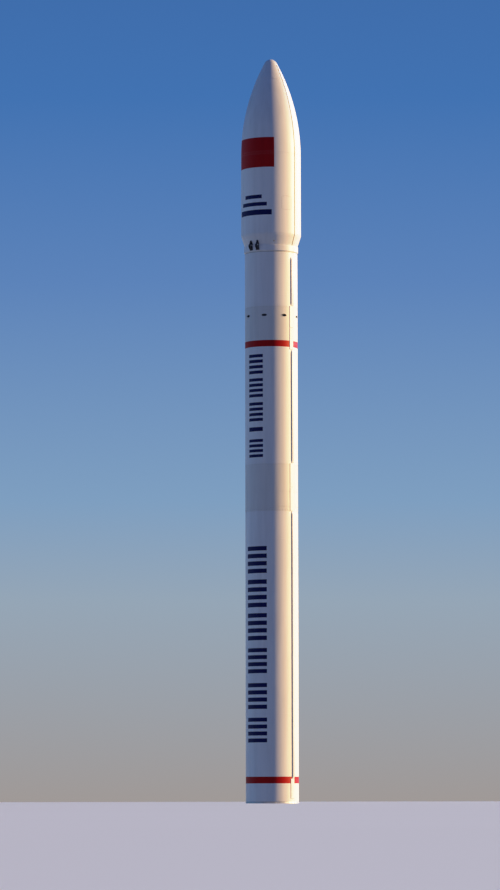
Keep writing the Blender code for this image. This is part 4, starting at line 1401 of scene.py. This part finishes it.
def make_arm(name, turn):
    """One steering arm: a curved pad bolted to the nozzle's neck, a forked beam and its pin."""
    fork = mirrored([(0.022, -0.507), (0.022, -0.578), (0.034, -0.575), (0.034, -0.470),
                     (0.026, -0.420), (0.032, -0.245)])
    arm = slab(fork, PIVOT_HEIGHT - 0.022, PIVOT_HEIGHT + 0.022, 0.002, both=True)
    pad_proud, pad_half = 0.014, math.degrees(0.054 / ARM_PAD_RADIUS)
    pad = ((-pad_half, pad_half), (0.5325, 0.5885), (0.0004, pad_proud))
    arm.add(curved_block(neck_radius, *pad, 10))
    for across in (-0.043, 0.043):
        for height in (PIVOT_HEIGHT - 0.017, PIVOT_HEIGHT + 0.017):
            aside = math.degrees(across / ARM_PAD_RADIUS)
            spot = on_side(aside, neck_radius(height) + pad_proud, height)
            arm.add(head(spot, 0.0060, 0.8))
    pin = [(0.0, 0.040), (0.016, 0.040), (0.018, 0.0385), (0.018, 0.0335), (0.013, 0.0335)]
    pin = turned(mirrored(pin, axis=1), SMALL_ROUND)
    arm.add(pin.moved(beside(0.0, ARM_REACH, PIVOT_HEIGHT) @ rotated(90.0, "Y")))
    piece(name + "_arm_fork", arm.moved(rotated(turn)), "steel", "nozzle", name + "_arm")


def make_barrel(name, foot):
    """Barrel of a steering actuator, with end caps and a ring of screws."""
    bottom, top, radius, bore, thin = 0.170, 0.420, 0.045, 0.0155, 0.040
    barrel = turned(
        [(bore, top), (0.026, top), (0.028, top - 0.002), (0.028, top - 0.016),
         (0.040, top - 0.018), (radius, top - 0.023), (radius, top - 0.048), (thin, top - 0.052),
         (thin, bottom + 0.052), (radius, bottom + 0.048), (radius, bottom + 0.006),
         (0.039, bottom), (0.0, bottom), (0.0, bottom + 0.045), (bore, bottom + 0.045)],
        SMALL_ROUND,
    )
    for angle in range(0, 360, 60):
        spot = rotated(angle) @ Matrix.Translation((0.034, 0.0, top - 0.0175))
        barrel.add(head(spot, 0.0035, 0.8))
    node = name + "_actuator_barrel"
    piece(name + "_barrel_body", barrel.moved(foot), "steel", "vehicle", node)


def make_actuator(name, turn):
    """Steering actuator: a barrel on a bracket, and a polished rod with its eye."""
    foot = beside(turn, ARM_REACH, 0.0)
    make_barrel(name, foot)
    wall = -(SKIRT_INNER + 0.002)
    outline = mirrored([(0.034, wall), (0.034, wall + 0.012), (0.022, wall + 0.020),
                        (0.022, -ARM_REACH - 0.030)])
    web = mirrored([(0.008, wall), (0.008, -ARM_REACH - 0.036)])
    bracket = slab(web, 0.255, 0.365)
    for low, high in ((0.240, 0.262), (0.358, 0.380)):
        bracket.add(slab(outline, low, high, 0.0015, both=True))
    piece(name + "_actuator_bracket", bracket.moved(rotated(turn)), "dark", "vehicle")

    rod = turned(
        [(0.0, 0.540), (ROD_RADIUS, 0.536), (ROD_RADIUS, 0.300), (ROD_RADIUS, 0.272),
         (0.012, 0.270), (0.0, 0.270)],
        SMALL_ROUND,
    )
    eye = [(0.0172, 0.0125), (0.0185, 0.0138), (0.030, 0.0138), (0.032, 0.0118)]
    eye = turned(mirrored(eye, axis=1), SMALL_ROUND).moved(rotated(90.0, "Y"))
    rod.add(eye.moved(Matrix.Translation((0.0, 0.0, PIVOT_HEIGHT))))
    rod.add(slab(circle(0.021, 6), 0.503, 0.516, 0.001, both=True))
    node = name + "_actuator_rod"
    piece(name + "_rod_and_eye", rod.moved(foot), "steel", name + "_rod", node)


def mark(shape, radius_at, turns, heights):
    """A painted block on the skin, as a thin curved sheet with its edges in the skin."""
    columns = max(2, math.ceil((turns[1] - turns[0]) / MARK_STEP_DEG))
    rows = math.ceil((heights[1] - heights[0]) / MARK_ROW) if heights[1] > NOSE_BOTTOM else 1
    shape.add(curved_block(radius_at, turns, heights, (-MARK_ROOT, MARK_RISE), columns, rows))


def bar(shape, radius_at, centre_turn, width, low, high):
    """One plain level bar of a width, between two heights."""
    half = math.degrees(width / 2 / radius_at(low))
    mark(shape, radius_at, (centre_turn - half, centre_turn + half), (low, high))


def make_marks():
    """Plain navy bars on both decorated faces, and a plain red panel on the fairing."""
    body_bars = Shape()
    for _, turn in HALVES:
        for width, blocks in BAR_BLOCKS:
            for low, high in blocks:
                pitch = (high - low) / (BARS_IN_BLOCK - 1 + BAR_SHARE)
                for index in range(BARS_IN_BLOCK):
                    bottom = low + index * pitch
                    bar(body_bars, body_radius, turn, width, bottom, bottom + pitch * BAR_SHARE)
        turns = (turn - STRIPE_TURN, turn + STRIPE_TURN)
        mark(body_bars, body_radius, turns, STRIPE_HEIGHTS)
    piece("body_bar_marks", body_bars, "navy", "vehicle")
    for half, turn in HALVES:
        bars, panel, body = Shape(), Shape(), "fairing_" + half
        for low, high, width in FAIRING_BARS:
            bar(bars, fairing_radius, turn, width, low, high)
        mark(panel, fairing_radius, (turn - PANEL_TURN, turn + PANEL_TURN), PANEL_HEIGHTS)
        piece(body + "_bar_marks", bars, "navy", body)
        piece(body + "_red_panel", panel, "red", body)


def make_camera():
    """Camera at floor level at the photograph's angle, aimed so that the rocket sits as there."""
    data = bpy.data.cameras.new("camera")
    data.sensor_width = SENSOR
    data.lens = LENS
    data.clip_end = 1000.0
    camera = in_scene("camera", data)
    camera.location = polar(CAMERA_DISTANCE, math.radians(CAMERA_TURN), CAMERA_HEIGHT)
    focal_pixels = LENS / SENSOR * PHOTO_SIZE[1]
    swing = math.degrees(math.atan((AXIS_PIXEL - PHOTO_SIZE[0] / 2) / focal_pixels))
    facing = rotated(CAMERA_TURN + swing) @ rotated(90.0 + CAMERA_PITCH, "X") @ rotated(CAMERA_ROLL)
    camera.rotation_euler = facing.to_euler()
    bpy.context.scene.camera = camera


def make_stage():
    """Pale floor, a low warm key from the right, and a cool fill that is paler at the horizon."""
    ways = ((-1, -1), (1, -1), (1, 1), (-1, 1))
    corners = [(x * FLOOR_REACH, y * FLOOR_REACH, 0.0) for x, y in ways]
    mesh = to_mesh("floor", Shape(corners, [(0, 1, 2, 3)]))
    mesh.materials.append(floor_finish())
    floor = in_scene("floor", mesh)
    floor.visible_diffuse = False
    floor.visible_shadow = False
    for name, turn, height, size, strength, colour in LIGHTS:
        light = bpy.data.lights.new(name, "SUN")
        light.energy = strength
        light.color = colour
        light.angle = math.radians(size)
        facing = rotated(CAMERA_TURN + turn) @ rotated(90.0 - height, "X")
        in_scene(name, light).matrix_world = facing
    make_fill()
    soften_highlights()


def soften_highlights():
    """Show light values as they are up to a knee, and press brighter ones gently together."""
    settings = bpy.context.scene.view_settings
    settings.view_transform = "Standard"
    settings.use_curve_mapping = True
    mapping = settings.curve_mapping
    mapping.white_level = (BRIGHTEST, BRIGHTEST, BRIGHTEST)
    curve = mapping.curves[3]
    for value, shown in ((KNEE, KNEE), SHOULDER):
        curve.points.new(value / BRIGHTEST, shown)
    for point in curve.points:
        point.handle_type = "VECTOR" if point.location.x < 0.5 * KNEE else "AUTO_CLAMPED"
    mapping.update()


def make_fill():
    """Fill light from all round, coloured by its height above the horizon."""
    world = bpy.data.worlds.new("fill")
    world.use_nodes = True
    tree = world.node_tree
    place = add_node(tree, "TexCoord").outputs["Generated"]
    height = add_node(tree, "SeparateXYZ", {"Vector": place}).outputs["Z"]
    inputs = {"Value": height, "From Min": FILL_HEIGHTS[0], "From Max": FILL_HEIGHTS[1]}
    share = add_node(tree, "MapRange", inputs).outputs["Result"]
    colours = add_node(tree, "ValToRGB", {"Fac": share})
    elements = colours.color_ramp.elements
    elements.remove(elements[1])
    for index, (position, colour) in enumerate(FILL_STOPS):
        stop = elements.new(position) if index else elements[0]
        stop.position = position
        stop.color = (*colour, 1.0)
    feed(tree, tree.nodes["Background"], {"Color": colours.outputs["Color"]})
    bpy.context.scene.world = world


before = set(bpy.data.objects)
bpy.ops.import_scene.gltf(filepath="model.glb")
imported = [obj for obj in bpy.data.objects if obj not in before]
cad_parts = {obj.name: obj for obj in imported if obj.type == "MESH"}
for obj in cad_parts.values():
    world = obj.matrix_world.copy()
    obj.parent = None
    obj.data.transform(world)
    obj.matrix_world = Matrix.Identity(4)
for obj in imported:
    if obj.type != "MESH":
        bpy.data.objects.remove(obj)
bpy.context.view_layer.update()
finishes = make_finishes()
make_camera()
make_stage()
make_stage1()
make_sections()
make_ports()
make_skirt()
make_ducts()
make_body_fasteners()
make_fairing_ring()
for half_name, half_turn in HALVES:
    make_fairing_half(half_name, half_turn)
    make_lining(half_name, half_turn)
    make_vent(half_name, half_turn)
    make_hinges(half_name, half_turn)
make_access_door()
make_load_space()
make_boss_and_seal()
make_nozzle()
for arm_name, arm_turn in ARM_SIDES:
    make_arm(arm_name, arm_turn)
    make_actuator(arm_name, arm_turn)
make_marks()
